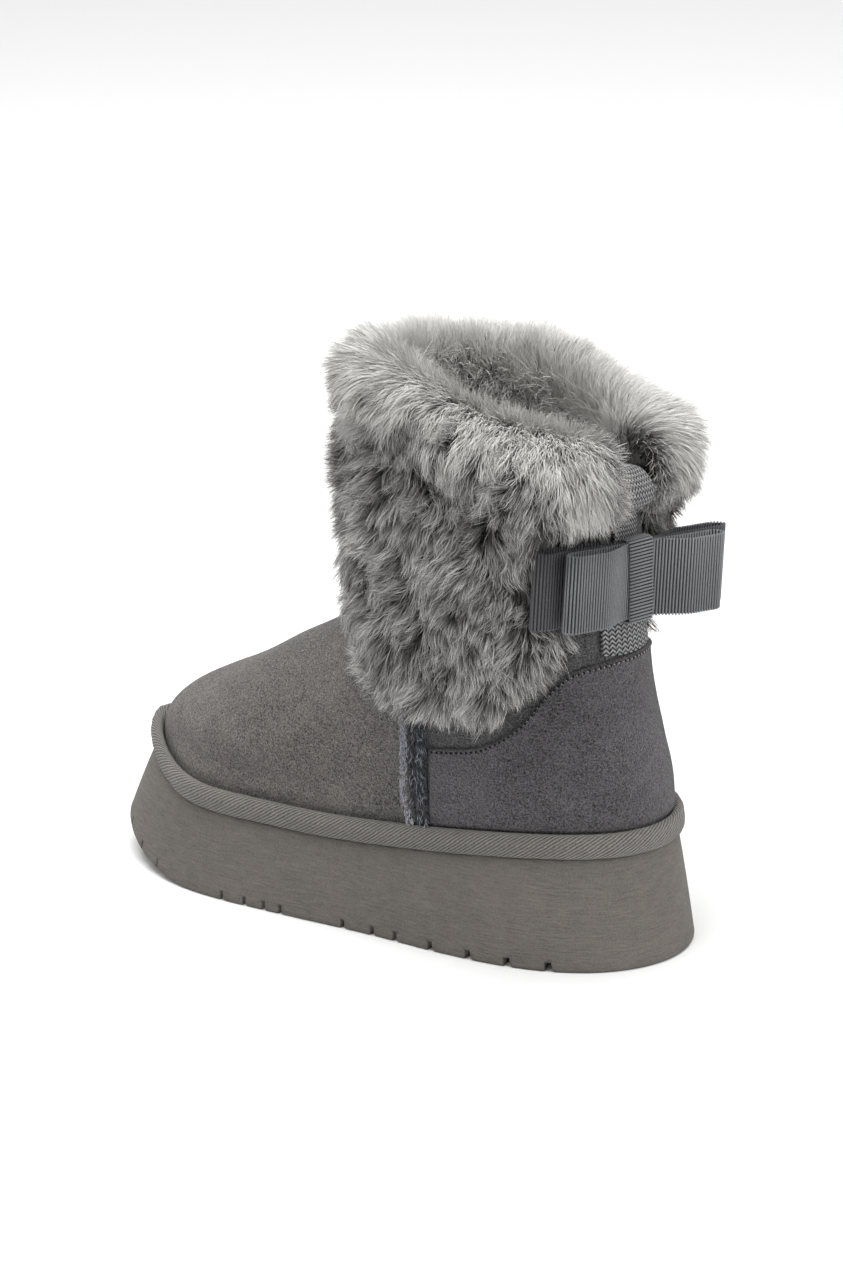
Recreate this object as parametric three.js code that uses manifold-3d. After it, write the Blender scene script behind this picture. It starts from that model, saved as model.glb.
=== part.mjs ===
// A left snow boot: a flared platform sole, a rolled edge binding, a suede upper with a stitched heel
// quarter and raised side seams, a deep fur cuff that is open at the back, a webbing pull tape and a
// double ribbon bow. Millimetres, +X towards the toe, +Y to the outer side, +Z up. The origin is on the
// floor, in the middle of the heel's tread.
import * as THREE from "three";
import { mergeVertices } from "three/addons/utils/BufferGeometryUtils.js";
import Module from "manifold-3d";

const wasm = await Module();
wasm.setup();

// Driving sizes of the sole
const soleLength = 268;
const ballWidth = 99;
const heelToOrigin = 47.3;
const heelHeight = 46;
const foreHeight = 35.5;
const toeSpring = 15;
const toeSpringLength = 70;
const deckSpring = 17;
const toeDraw = 6.5;
const toeDrawStart = 0.72;
const sideFlare = 6.5;
const treadBevel = 1.4;
const grooveDepth = 4;
const grooveReach = 24;

// Driving sizes of the binding, upper and insole
const bindingHeight = 10;
const bindingDepth = 5.4;
const bindingProud = 2.6;
const wall = 3;
const clearance = 0.3;
const heelCounterHeight = 124.5;
const collarBackHeight = 194;
const collarFrontHeight = 229;
const ankleWidth = 80;
const shaftFrontX = 138.3;
const shaftBackX = 22.3;
const overlayGap = 0.55;
const insoleThickness = 5;

// Driving sizes of the overlays
const seamX = 99;
const quarterSeamHeight = 83;
const quarterThickness = 1.2;
const weltWidth = 12;
const weltHeight = 2.8;

// Driving sizes of the fur cuff
const furDepth = 17.5;
const furLobeFlare = 1.75;
const furFrontFlare = 0.88;
const furInside = 12;
const furGap = 1.2;
const furRimRise = 9;
const furLobeRise = 17;
const furTurnIn = 42;
const furEdgeHeight = 101;
const slitHalfWidth = 14;
const lockLength = 27;
const lockWidth = 25;
const lockStandOff = 3;

// Driving sizes of the pull tape and the bow
const tapeWidth = 28;
const pullLoopWidth = 18;
const tapeShift = 3;
const tapeThickness = 1.2;
const pullLoopDepth = 6.5;
const pullLoopHeight = 22;
const ribbonWidth = 31;
const ribbonThickness = 0.6;
const frontLoopLength = 40;
const backLoopLength = 49;
const bowLoopDepth = 7;
const bowSpread = 4.6;
const bowPinch = 0.2;
const bowBandWidth = 12;
const bowHeight = 156.5;
const bowShift = 2.5;
const bowStandOff = 5.6;
const bowTurn = THREE.MathUtils.degToRad(18);
const bowTilt = THREE.MathUtils.degToRad(4.5);

// How finely the curved faces are cut
const soleSteps = 60;
const upperRings = 17;
const upperSteps = 36;

// Plan of the sole at the floor. share is of the sole's length from the heel; half and shift are shares
// of the ball width: half the width before the ends are rounded off, and the centre line's swing.
const solePlan = [
  { share: 0.0, half: 0.735, shift: 0.0 },
  { share: 0.075, half: 0.69, shift: 0.0 },
  { share: 0.15, half: 0.638, shift: 0.0 },
  { share: 0.225, half: 0.588, shift: 0.002 },
  { share: 0.3, half: 0.541, shift: 0.006 },
  { share: 0.41, half: 0.49, shift: 0.01 },
  { share: 0.5, half: 0.481, shift: 0.01 },
  { share: 0.63, half: 0.508, shift: 0.006 },
  { share: 0.71, half: 0.545, shift: 0.0 },
  { share: 0.82, half: 0.6, shift: -0.012 },
  { share: 0.9, half: 0.614, shift: -0.022 },
  { share: 1.0, half: 0.6, shift: -0.032 },
];

// Side of the sole from the floor up. rise is a share of the sole's height and out of its flare.
const soleSide = [
  { rise: 0.04, out: 0.0 },
  { rise: 0.35, out: 0.3 },
  { rise: 0.7, out: 0.66 },
  { rise: 1.0, out: 1.0 },
];

// Grooves that notch the sole's edge, as shares of its length, with each groove's width in millimetres.
const edgeGrooves = [
  { share: 0.13, width: 4.2 },
  { share: 0.193, width: 4.2 },
  { share: 0.258, width: 3.8 },
  { share: 0.325, width: 3.4 },
  { share: 0.39, width: 2.8 },
  { share: 0.432, width: 2.8 },
  { share: 0.486, width: 2.6 },
  { share: 0.6, width: 2.3 },
  { share: 0.631, width: 2.3 },
  { share: 0.667, width: 2.3 },
  { share: 0.71, width: 2.3 },
  { share: 0.856, width: 2.0 },
  { share: 0.905, width: 2.0 },
  { share: 0.954, width: 2.0 },
];

// Sections of the upper from the feather line to the collar. Each is a closed ring through a point on
// the back line and one on the front line. back and front are shares of the way from the shaft's own
// back and front out to the sole's ends; backRise and frontRise are shares of the heel and front
// heights. heel, mid and fore are half widths as shares of the ankle width; sole says how far the ring
// still follows the sole's plan.
const upperSections = [
  { name: "feather", back: 0.97, backRise: 0.0, front: 1.0, frontRise: 0.04, heel: 0.76, mid: 0.46, fore: 0.62, sole: 1 },
  { name: "binding", back: 0.92, backRise: 0.07, front: 0.965, frontRise: 0.09, heel: 0.755, mid: 0.465, fore: 0.61, sole: 0.95 },
  { name: "toe", back: 0.855, backRise: 0.13, front: 0.88, frontRise: 0.14, heel: 0.745, mid: 0.47, fore: 0.59, sole: 0.6 },
  { name: "toe top", back: 0.74, backRise: 0.19, front: 0.762, frontRise: 0.193, heel: 0.725, mid: 0.475, fore: 0.55, sole: 0.25 },
  { name: "joint", back: 0.61, backRise: 0.245, front: 0.645, frontRise: 0.242, heel: 0.695, mid: 0.48, fore: 0.51, sole: 0.06 },
  { name: "vamp", back: 0.485, backRise: 0.305, front: 0.522, frontRise: 0.284, heel: 0.66, mid: 0.485, fore: 0.47, sole: 0 },
  { name: "low instep", back: 0.32, backRise: 0.37, front: 0.355, frontRise: 0.345, heel: 0.615, mid: 0.49, fore: 0.45, sole: 0 },
  { name: "instep", back: 0.185, backRise: 0.44, front: 0.162, frontRise: 0.42, heel: 0.56, mid: 0.495, fore: 0.47, sole: 0 },
  { name: "high instep", back: 0.1, backRise: 0.51, front: 0.065, frontRise: 0.495, heel: 0.535, mid: 0.5, fore: 0.49, sole: 0 },
  { name: "throat", back: 0.015, backRise: 0.58, front: 0.022, frontRise: 0.575, heel: 0.52, mid: 0.5, fore: 0.5, sole: 0 },
  { name: "ankle", back: -0.03, backRise: 0.67, front: 0.0, frontRise: 0.67, heel: 0.51, mid: 0.505, fore: 0.505, sole: 0 },
  { name: "low shaft", back: -0.03, backRise: 0.78, front: 0.0, frontRise: 0.78, heel: 0.51, mid: 0.51, fore: 0.51, sole: 0 },
  { name: "shaft", back: -0.01, backRise: 0.89, front: 0.0, frontRise: 0.89, heel: 0.515, mid: 0.515, fore: 0.515, sole: 0 },
  { name: "collar", back: 0.0, backRise: 1.0, front: 0.0, frontRise: 1.0, heel: 0.52, mid: 0.52, fore: 0.52, sole: 0 },
];

// Top edge of the heel quarter from the back to the side seam. rise is a share of the height from the
// seam's end of that edge to the back's.
const quarterEdge = [
  { share: 0.0, rise: 1.0 },
  { share: 0.2, rise: 0.985 },
  { share: 0.4, rise: 0.9 },
  { share: 0.52, rise: 0.68 },
  { share: 0.62, rise: 0.43 },
  { share: 0.72, rise: 0.24 },
  { share: 0.82, rise: 0.1 },
  { share: 1.0, rise: 0.0 },
];

// Lower edge of the fur from the back round to the front. share is of the half turn, and rise a share
// of the height from the fur's lowest edge to the collar's back.
const furEdge = [
  { share: 0.0, rise: 0.66 },
  { share: 0.14, rise: 0.54 },
  { share: 0.2, rise: 0.34 },
  { share: 0.28, rise: 0.165 },
  { share: 0.37, rise: 0.04 },
  { share: 0.5, rise: 0.0 },
  { share: 0.66, rise: 0.06 },
  { share: 0.8, rise: 0.22 },
  { share: 0.9, rise: 0.34 },
  { share: 1.0, rise: 0.38 },
];

// Section of the fur cuff, from its lower edge up the outside. rise is a share of the height from the
// lower edge to the collar, and out a share of the fur's depth.
const furOutside = [
  { rise: -0.01, out: 0.35 },
  { rise: 0.06, out: 0.78 },
  { rise: 0.22, out: 0.97 },
  { rise: 0.46, out: 0.98 },
  { rise: 0.7, out: 1.0 },
  { rise: 0.92, out: 1.0 },
];

// The rim over the collar. above is a share of the rim's rise, out a share of the fur's depth on the
// outer side and, where negative, of its depth inside; across is how far over the collar's wall the
// rim's own underside has come.
const furRim = [
  { above: 0.45, out: 0.95, across: 0.0 },
  { above: 0.95, out: 0.72, across: 0.25 },
  { above: 1.2, out: 0.25, across: 0.5 },
  { above: 1.22, out: -0.25, across: 0.75 },
  { above: 0.65, out: -0.85, across: 1.0 },
];

// The part turned in. below is a share of the turn-in's length, and inside one of the inside depth.
const furInner = [
  { below: 0.3, inside: 1.0 },
  { below: 0.75, inside: 0.92 },
  { below: 1.0, inside: 0.5 },
];

// Rows of fur locks on the outside. rise is a share of the height from the lower edge to the collar,
// drop a share of the lock's length that it runs down by, and tipOut where its tip ends, as a share of
// the fur's depth.
const lockRows = [
  { rise: 0.13, count: 16, drop: 0.75, tipOut: 0.72 },
  { rise: 0.42, count: 15, drop: 1.0, tipOut: 1.12 },
  { rise: 0.72, count: 16, drop: 1.0, tipOut: 1.12 },
  { rise: 1.0, count: 14, drop: 0.9, tipOut: 1.14 },
];

// Path of the pull tape over the collar at the back. above is a share of the loop's height from the
// collar; out is a share of the loop's depth, and inside, where it isn't 0, how deep inside the wall.
const tapeTop = [
  { above: -0.9, out: 0.0, inside: 0 },
  { above: -0.6, out: 0.35, inside: 0 },
  { above: -0.25, out: 0.85, inside: 0 },
  { above: 0.05, out: 1.0, inside: 0 },
  { above: 0.3, out: 0.72, inside: 0 },
  { above: 0.4, out: 0.1, inside: 0 },
  { above: 0.3, out: 0, inside: 3.2 },
  { above: 0.02, out: 0, inside: 4.2 },
  { above: -0.35, out: 0, inside: 2.6 },
  { above: -0.9, out: 0, inside: 1.6 },
];

// Smooth value of one column of a table, at a key between its rows.
function along(rows, key, column, at) {
  const last = rows.length - 1;
  let i = 0;
  while (i < last - 1 && at > rows[i + 1][key]) i += 1;
  const [p, q] = [rows[i], rows[i + 1]];
  const width = q[key] - p[key];
  const u = THREE.MathUtils.clamp((at - p[key]) / width, 0, 1);
  const slope = (a, b) => (rows[b][column] - rows[a][column]) / (rows[b][key] - rows[a][key]);
  const startSlope = slope(Math.max(i - 1, 0), i + 1) * width;
  const endSlope = slope(i, Math.min(i + 2, last)) * width;
  const u2 = u * u;
  const u3 = u2 * u;
  return (
    p[column] * (2 * u3 - 3 * u2 + 1) + startSlope * (u3 - 2 * u2 + u) + q[column] * (3 * u2 - 2 * u3) + endSlope * (u3 - u2)
  );
}

const smooth = (low, high, at) => THREE.MathUtils.smoothstep(at, low, high);
const mix = THREE.MathUtils.lerp;
const heelX = -heelToOrigin;
const toeX = heelX + soleLength;

// How far into the toe spring a place is, from 0 where it starts to 1 at the toe
function springAt(x) {
  const into = Math.max(0, x - (toeX - toeSpringLength)) / toeSpringLength;
  return into * into;
}

// The sole's underside lifts towards the toe.
const underside = (x) => toeSpring * springAt(x);

// Height of the sole's top face, which carries the upper.
function deck(x) {
  const forward = smooth(heelX + soleLength * 0.08, heelX + soleLength * 0.56, x);
  return mix(heelHeight, foreHeight, forward) + deckSpring * springAt(x);
}

// A point of the sole's plan at an angle round it, 0 at the heel and a half turn at the toe, moved in
// by inset along the plan's normal. The side leans in more at the toe: level says how much of that
// extra draw counts, from 0 at the floor to 1 at the sole's top.
function soleRim(angle, inset, level = 1) {
  const raw = (a) => {
    const share = (1 - Math.cos(a)) / 2;
    const half = along(solePlan, "share", "half", share) * Math.sin(a);
    const shift = along(solePlan, "share", "shift", share);
    return new THREE.Vector2(heelX + share * soleLength, (half + shift) * ballWidth);
  };
  const step = 0.004;
  const tangent = raw(angle + step).sub(raw(angle - step)).normalize();
  const draw = toeDraw * smooth(toeDrawStart, 1, (1 - Math.cos(angle)) / 2) * level;
  return raw(angle).add(new THREE.Vector2(tangent.y, -tangent.x).multiplyScalar(inset + draw));
}

// A solid from triangles of a three.js geometry, and back again.
function toSolid(geometry) {
  const bare = geometry.clone();
  bare.deleteAttribute("normal");
  bare.deleteAttribute("uv");
  const merged = mergeVertices(bare, 1e-4);
  return new wasm.Manifold(
    new wasm.Mesh({
      numProp: 3,
      vertProperties: new Float32Array(merged.attributes.position.array),
      triVerts: new Uint32Array(merged.index.array),
    }),
  );
}

function toGeometry(solid) {
  const mesh = solid.getMesh();
  const geometry = new THREE.BufferGeometry();
  geometry.setAttribute("position", new THREE.BufferAttribute(mesh.vertProperties, 3));
  geometry.setIndex(new THREE.BufferAttribute(mesh.triVerts, 1));
  const flat = geometry.toNonIndexed();
  flat.computeVertexNormals();
  return flat;
}

// A skin over a grid of points. rows and columns may each close on themselves. With cap, the first and
// last rows are shut by zipping each point to the one that faces it across its ring.
function skin(grid, { closeRows = false, closeColumns = false, cap = false }) {
  const rows = grid.length;
  const columns = grid[0].length;
  const index = [];
  const id = (r, c) => (r % rows) * columns + (c % columns);
  for (let r = 0; r < (closeRows ? rows : rows - 1); r += 1) {
    for (let c = 0; c < (closeColumns ? columns : columns - 1); c += 1) {
      index.push(id(r, c), id(r, c + 1), id(r + 1, c + 1));
      index.push(id(r, c), id(r + 1, c + 1), id(r + 1, c));
    }
  }
  for (let c = 0; cap && c < columns / 2 - 1; c += 1) {
    const facing = columns - 1 - c;
    index.push(id(0, c), id(0, facing - 1), id(0, c + 1), id(0, c), id(0, facing), id(0, facing - 1));
    const r = rows - 1;
    index.push(id(r, c), id(r, c + 1), id(r, facing - 1), id(r, c), id(r, facing - 1), id(r, facing));
  }
  const geometry = new THREE.BufferGeometry();
  geometry.setAttribute("position", new THREE.Float32BufferAttribute(grid.flat().flatMap((p) => p.toArray()), 3));
  geometry.setIndex(index);
  return geometry;
}

// A solid whose volume is positive, whichever way its skin was wound.
function facingOut(geometry) {
  const make = () => toSolid(geometry);
  let solid = make();
  if (solid.volume() < 0) {
    const turned = Array.from(geometry.index.array);
    for (let i = 0; i < turned.length; i += 3) [turned[i + 1], turned[i + 2]] = [turned[i + 2], turned[i + 1]];
    geometry.setIndex(turned);
    solid = make();
  }
  return solid;
}

// Angles round a ring that face each other in pairs, so that the ring can be zipped shut.
const ringAngles = (count) => Array.from({ length: count }, (_, i) => ((i + 0.5) / count) * 2 * Math.PI);

// The platform sole: lofted side, bevelled tread edge and edge grooves
function platformSole() {
  const ring = (inset, rise, level) =>
    ringAngles(soleSteps).map((angle) => {
      const p = soleRim(angle, inset, level);
      return new THREE.Vector3(p.x, p.y, mix(underside(p.x), deck(p.x), rise));
    });
  const sides = soleSide.map(({ rise, out }) => ring(out * sideFlare, rise, out));
  const levels = [ring(treadBevel, 0, 0), ...sides];
  let sole = facingOut(skin(levels, { closeColumns: true, cap: true }));
  for (const groove of edgeGrooves) {
    const angle = Math.acos(1 - 2 * groove.share);
    for (const at of [angle, 2 * Math.PI - angle]) sole = sole.subtract(grooveCutter(at, groove.width));
  }
  return sole;
}

// One groove, open at the sole's edge and running in towards the middle
function grooveCutter(angle, width) {
  const outer = soleRim(angle, -2, 0);
  const inner = soleRim(angle, grooveReach, 0);
  const inward = inner.clone().sub(outer).normalize();
  const low = underside(outer.x) - 1;
  const profile = new THREE.Shape();
  profile.moveTo(-width / 2, low);
  profile.lineTo(width / 2, low);
  profile.lineTo(width / 2, underside(outer.x) + grooveDepth);
  profile.lineTo(-width * 0.15, underside(outer.x) + grooveDepth);
  profile.closePath();
  const cutter = new THREE.ExtrudeGeometry(profile, { depth: grooveReach + 2, bevelEnabled: false });
  const up = new THREE.Vector3(0, 0, 1);
  const run = new THREE.Vector3(inward.x, inward.y, 0);
  cutter.applyMatrix4(new THREE.Matrix4().makeBasis(up.clone().cross(run), up, run));
  return toSolid(cutter.translate(outer.x, outer.y, 0));
}

// The rolled binding: a bead that stands on the sole's top edge and closes round the upper
function edgeBinding() {
  const middle = sideFlare - bindingProud + bindingDepth / 2;
  const beadSteps = 8;
  const bead = ringAngles(beadSteps).map((turn) => ({
    inset: middle - (Math.abs(Math.cos(turn)) ** 0.7 * Math.sign(Math.cos(turn)) * bindingDepth) / 2,
    rise: bindingHeight * (0.5 + 0.5 * Math.abs(Math.sin(turn)) ** 0.8 * Math.sign(Math.sin(turn))),
  }));
  const grid = ringAngles(soleSteps).map((angle) =>
    bead.map(({ inset, rise }) => {
      const p = soleRim(angle, inset);
      return new THREE.Vector3(p.x, p.y, deck(p.x) + clearance + rise);
    }),
  );
  return facingOut(skin(grid, { closeRows: true, closeColumns: true }));
}

// Inset from the sole's plan to the upper's outer face at the feather line
const featherInset = sideFlare - bindingProud + bindingDepth + clearance;

// The upper's outer face. t runs through the rows of upperSections, from 0 at the feather line; angle
// runs round the ring, 0 at the back and a quarter turn at the outer side.
const sections = upperSections.map((row, i) => ({ ...row, step: i }));
const collarStep = sections.length - 1;

function upperFace(t, angle) {
  const at = THREE.MathUtils.clamp(t, 0, collarStep);
  const of = (column) => along(sections, "step", column, at);
  const share = (1 - Math.cos(angle)) / 2;
  const backX = heelX + mix(shaftBackX, featherInset - 1, of("back"));
  const frontX = mix(heelX + shaftFrontX, toeX - toeDraw - featherInset, of("front"));
  const end = share < 0.5 ? of("heel") : of("fore");
  const half = mix(of("mid"), end, Math.abs(1 - 2 * share) ** 1.6) * ankleWidth;
  const x = mix(backX, frontX, share);
  const sway = along(solePlan, "share", "shift", (x - heelX) / soleLength) * ballWidth;
  const free = new THREE.Vector2(x, half * Math.sin(angle) + sway);
  const plan = free.lerp(soleRim(angle, featherInset), of("sole"));
  const onDeck = deck(plan.x) + clearance + (bindingHeight * at) / 1.2;
  const backZ = mix(heelHeight, collarBackHeight, of("backRise"));
  const frontZ = mix(foreHeight, collarFrontHeight, of("frontRise"));
  return new THREE.Vector3(plan.x, plan.y, mix(onDeck, mix(backZ, frontZ, share), smooth(0, 3, at)));
}

// A point at a distance out from that face, along its normal
function upperAt(t, angle, out) {
  const at = THREE.MathUtils.clamp(t, 0.02, collarStep - 0.02);
  const rising = upperFace(at + 0.02, angle).sub(upperFace(at - 0.02, angle));
  const round = upperFace(at, angle + 0.01).sub(upperFace(at, angle - 0.01));
  return upperFace(t, angle).addScaledVector(rising.cross(round).normalize(), out);
}

// Where on the ring at t the plan reaches a given x, on the outer side
function angleAtX(t, x) {
  let [low, high] = [0, Math.PI];
  for (let i = 0; i < 24; i += 1) {
    const middle = (low + high) / 2;
    if (upperFace(t, middle).x < x) low = middle;
    else high = middle;
  }
  return low;
}

// Where along t the face reaches a given height, at an angle
function stepAtHeight(angle, height) {
  let [low, high] = [0, collarStep];
  for (let i = 0; i < 24; i += 1) {
    const middle = (low + high) / 2;
    if (upperFace(middle, angle).z < height) low = middle;
    else high = middle;
  }
  return low;
}

// The upper: one hollow solid, open at the collar and underneath
function upper() {
  const steps = Array.from({ length: upperRings + 1 }, (_, i) => (collarStep * i) / upperRings);
  const ring = (t, out) =>
    ringAngles(upperSteps).map((angle) => {
      const p = upperAt(t, angle, out);
      if (t === 0) p.z = deck(p.x) + clearance;
      return p;
    });
  const grid = [...steps.map((t) => ring(t, 0)), ...steps.toReversed().map((t) => ring(t, -wall))];
  return facingOut(skin(grid, { closeRows: true, closeColumns: true }));
}

// The insole: a sock that lies on the sole's top face, inside the upper
function insole() {
  const inset = featherInset + wall + clearance + 0.7;
  const ring = (rise, tuck) =>
    ringAngles(upperSteps).map((angle) => {
      const p = soleRim(angle, inset + tuck);
      return new THREE.Vector3(p.x, p.y, deck(p.x) + clearance + rise);
    });
  const levels = [ring(0, 0), ring(insoleThickness * 0.7, 0.3), ring(insoleThickness, 2)];
  return facingOut(skin(levels, { closeColumns: true, cap: true }));
}

// A thin piece laid over the upper. at(u, v) gives its place as t and angle, and thick its thickness
// above the clearance there.
function overlay(columns, rows, at, thick) {
  const side = (level) =>
    Array.from({ length: columns + 1 }, (_, i) =>
      Array.from({ length: rows + 1 }, (_, j) => {
        const [u, v] = [i / columns, j / rows];
        const [t, angle] = at(u, v);
        return upperAt(t, angle, overlayGap + level * thick(u, v));
      }),
    );
  const [under, over] = [side(0), side(1)];
  const grid = under.map((row, i) => [...row, ...over[i].toReversed()]);
  return facingOut(skin(grid, { closeColumns: true, cap: true }));
}

// Where along t the face clears the binding, at an angle
function bindingTopStep(angle) {
  const p = upperFace(0.5, angle);
  return stepAtHeight(angle, deck(p.x) + bindingHeight + 3 * clearance);
}

// The heel quarter, between the two side seams, with its curved top edge
function heelQuarter() {
  const reach = angleAtX(3, seamX + heelX - weltWidth / 2 - 2 * clearance);
  const place = (u, v) => {
    const across = 2 * u - 1;
    const height = mix(quarterSeamHeight, heelCounterHeight, along(quarterEdge, "share", "rise", Math.abs(across)));
    const t = mix(bindingTopStep(across * reach), stepAtHeight(across * reach, height), v);
    const limit = angleAtX(t, seamX + heelX - weltWidth / 2 - 2 * clearance);
    return [t, across * limit];
  };
  return overlay(22, 5, place, () => quarterThickness);
}

// An angle folded onto the outer side, from 0 at the back to a half turn at the front
const folded = (angle) => Math.acos(Math.cos(angle));

// Height of the fur's lower edge at an angle, before its locks
function furLow(angle) {
  const rise = along(furEdge, "share", "rise", folded(angle) / Math.PI);
  return mix(furEdgeHeight, collarBackHeight, rise);
}

// A raised side seam, from the binding up to the fur
function sideSeam(side) {
  const middle = angleAtX(4, seamX + heelX);
  const bottom = bindingTopStep(side * middle);
  const top = stepAtHeight(side * middle, furLow(middle) - 2);
  const place = (u, v) => {
    const t = mix(bottom, top, u);
    return [t, side * angleAtX(t, seamX + heelX + (v - 0.5) * weltWidth)];
  };
  return overlay(9, 6, place, (u, v) => weltHeight * (0.3 + 0.7 * Math.sin(Math.PI * v) ** 0.6));
}

// The slit's half angle at the back of the shaft, and how far the slit and the tape in it are turned
const slitAngle = Math.asin(slitHalfWidth / (ankleWidth * 0.52));
const slitTurn = Math.asin(tapeShift / (ankleWidth * 0.52));
const fromSlit = (share) => slitTurn + mix(slitAngle, 2 * Math.PI - slitAngle, share);

// Depth of the fur at an angle and a share of the way up: thinner beside the slit, and flared at the
// top, most of all in the two lobes at the back
function furDeep(angle, share) {
  const fromBack = folded(angle - slitTurn);
  const beside = mix(0.62, 1, smooth(slitAngle, slitAngle + 0.5, fromBack)) * mix(1, 0.85, smooth(1.9, 2.9, fromBack));
  const flare = mix(furLobeFlare, furFrontFlare, smooth(0.5, 1.9, fromBack));
  return furDepth * beside * mix(1, flare, smooth(0.45, 0.92, share));
}

// A point of the fur at a share of the way from its lower edge to the collar, and a distance out
function furAt(angle, share, out) {
  const high = upperFace(collarStep, angle).z;
  const low = furLow(angle);
  const p = upperAt(stepAtHeight(angle, mix(low, high, Math.min(share, 1))), angle, out);
  p.z += Math.max(0, share - 1) * (high - low);
  return p;
}

// The fur's body: a hooked section, outside, over the collar and inside, swept round from slit to slit
function furBody() {
  const columns = 26;
  const section = (angle) => {
    const depth = furDeep(angle, 1);
    const high = upperFace(collarStep, angle).z;
    const rise = mix(furLobeRise, furRimRise, smooth(1.7, 2.8, folded(angle - slitTurn)));
    const atCollar = (above, out) => upperAt(collarStep, angle, out).add(new THREE.Vector3(0, 0, above));
    const inside = (below, out) => upperAt(stepAtHeight(angle, high - below * furTurnIn), angle, out);
    const lining = -wall - furGap;
    const pairs = [
      ...furOutside.map((p) => [
        furAt(angle, p.rise, p.out * furDeep(angle, p.rise)),
        furAt(angle, Math.max(p.rise, 0), furGap),
      ]),
      ...furRim.map((p) => [
        atCollar(p.above * rise, p.out > 0 ? p.out * depth : lining + p.out * furInside),
        atCollar(furGap, mix(furGap, lining, p.across)),
      ]),
      ...furInner.map((p) => [inside(p.below, lining - p.inside * furInside), inside(p.below, lining)]),
    ];
    return [...pairs.map((pair) => pair[0]), ...pairs.toReversed().map((pair) => pair[1])];
  };
  const grid = Array.from({ length: columns + 1 }, (_, i) => section(fromSlit(i / columns)));
  return facingOut(skin(grid, { closeColumns: true, cap: true }));
}

// One lock: a broad, bent four sided horn through three centres, from a root inside the body to a tip
function furLock(centres, width) {
  const halves = [width * 0.42, width * 0.5, width * 0.07];
  const run = centres[2].clone().sub(centres[0]).normalize();
  const out = centres[1].clone().sub(centres[0]).normalize();
  const across = run.clone().cross(out).normalize();
  const deep = across.clone().cross(run).normalize();
  const grid = centres.map((centre, i) => [
    centre.clone().addScaledVector(across, halves[i]),
    centre.clone().addScaledVector(deep, halves[i] * 0.34),
    centre.clone().addScaledVector(across, -halves[i]),
    centre.clone().addScaledVector(deep, -halves[i] * 0.34),
  ]);
  return facingOut(skin(grid, { closeColumns: true, cap: true }));
}

// All locks, row by row like shingles, each row shifted by half a lock and a little uneven
function furLocks() {
  return lockRows.flatMap((row, r) =>
    Array.from({ length: row.count }, (_, i) => {
      const wobble = Math.sin(i * 12.9 + r * 78.2);
      const angle = fromSlit((i + 0.3 + 0.4 * (r % 2)) / row.count);
      const share = row.rise + 0.03 * wobble;
      const height = upperFace(collarStep, angle).z - furLow(angle);
      const drop = (lockLength * row.drop * (1 + 0.15 * wobble)) / height;
      const lean = 0.09 * Math.sin(i * 5.1 + r * 2.3);
      const centres = [
        furAt(angle, share + 0.06, furDeep(angle, share) * 0.72),
        furAt(angle + lean * 0.3, share - drop * 0.4, furDeep(angle, share) * Math.min(1, row.tipOut) + lockStandOff * 0.6),
        furAt(angle + lean, share - drop, furDeep(angle, share) * row.tipOut),
      ];
      const size = Math.min(1, furDeep(angle, share) / furDepth) * (1 - 0.12 * wobble);
      return furLock(centres, lockWidth * size);
    }),
  );
}

// The fur cuff: the body with its locks, pressed flat behind the bow and parted for the tape
function furCuff() {
  const whole = wasm.Manifold.union([furBody(), ...furLocks()]);
  const pressed = 2 * (furDepth * furLobeFlare + lockLength);
  const bowSpace = new THREE.BoxGeometry(2 * backLoopLength + 3, pressed, ribbonWidth + 4);
  bowSpace.translate(0, pressed / 2 - bowSpread - bowLoopDepth / 2 - 1, 0);
  const parted = whole
    .subtract(toSolid(placedInBow(bowSpace, bowTilt)))
    .subtract(tapeSpace(tapeWidth, furEdgeHeight, bowHeight))
    .subtract(tapeSpace(pullLoopWidth, bowHeight, collarFrontHeight));
  return parted.decompose().sort((a, b) => b.volume() - a.volume())[0];
}

// The room that the tape takes in the slit, from one height to another
function tapeSpace(width, low, high) {
  const reach = 2 * (furDepth * furLobeFlare + lockLength);
  const space = new THREE.BoxGeometry(reach, width + 3, high - low);
  space.translate(heelX + shaftBackX + furInside - reach / 2, 0, (low + high) / 2);
  return toSolid(space.rotateZ(-slitTurn));
}

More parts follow.
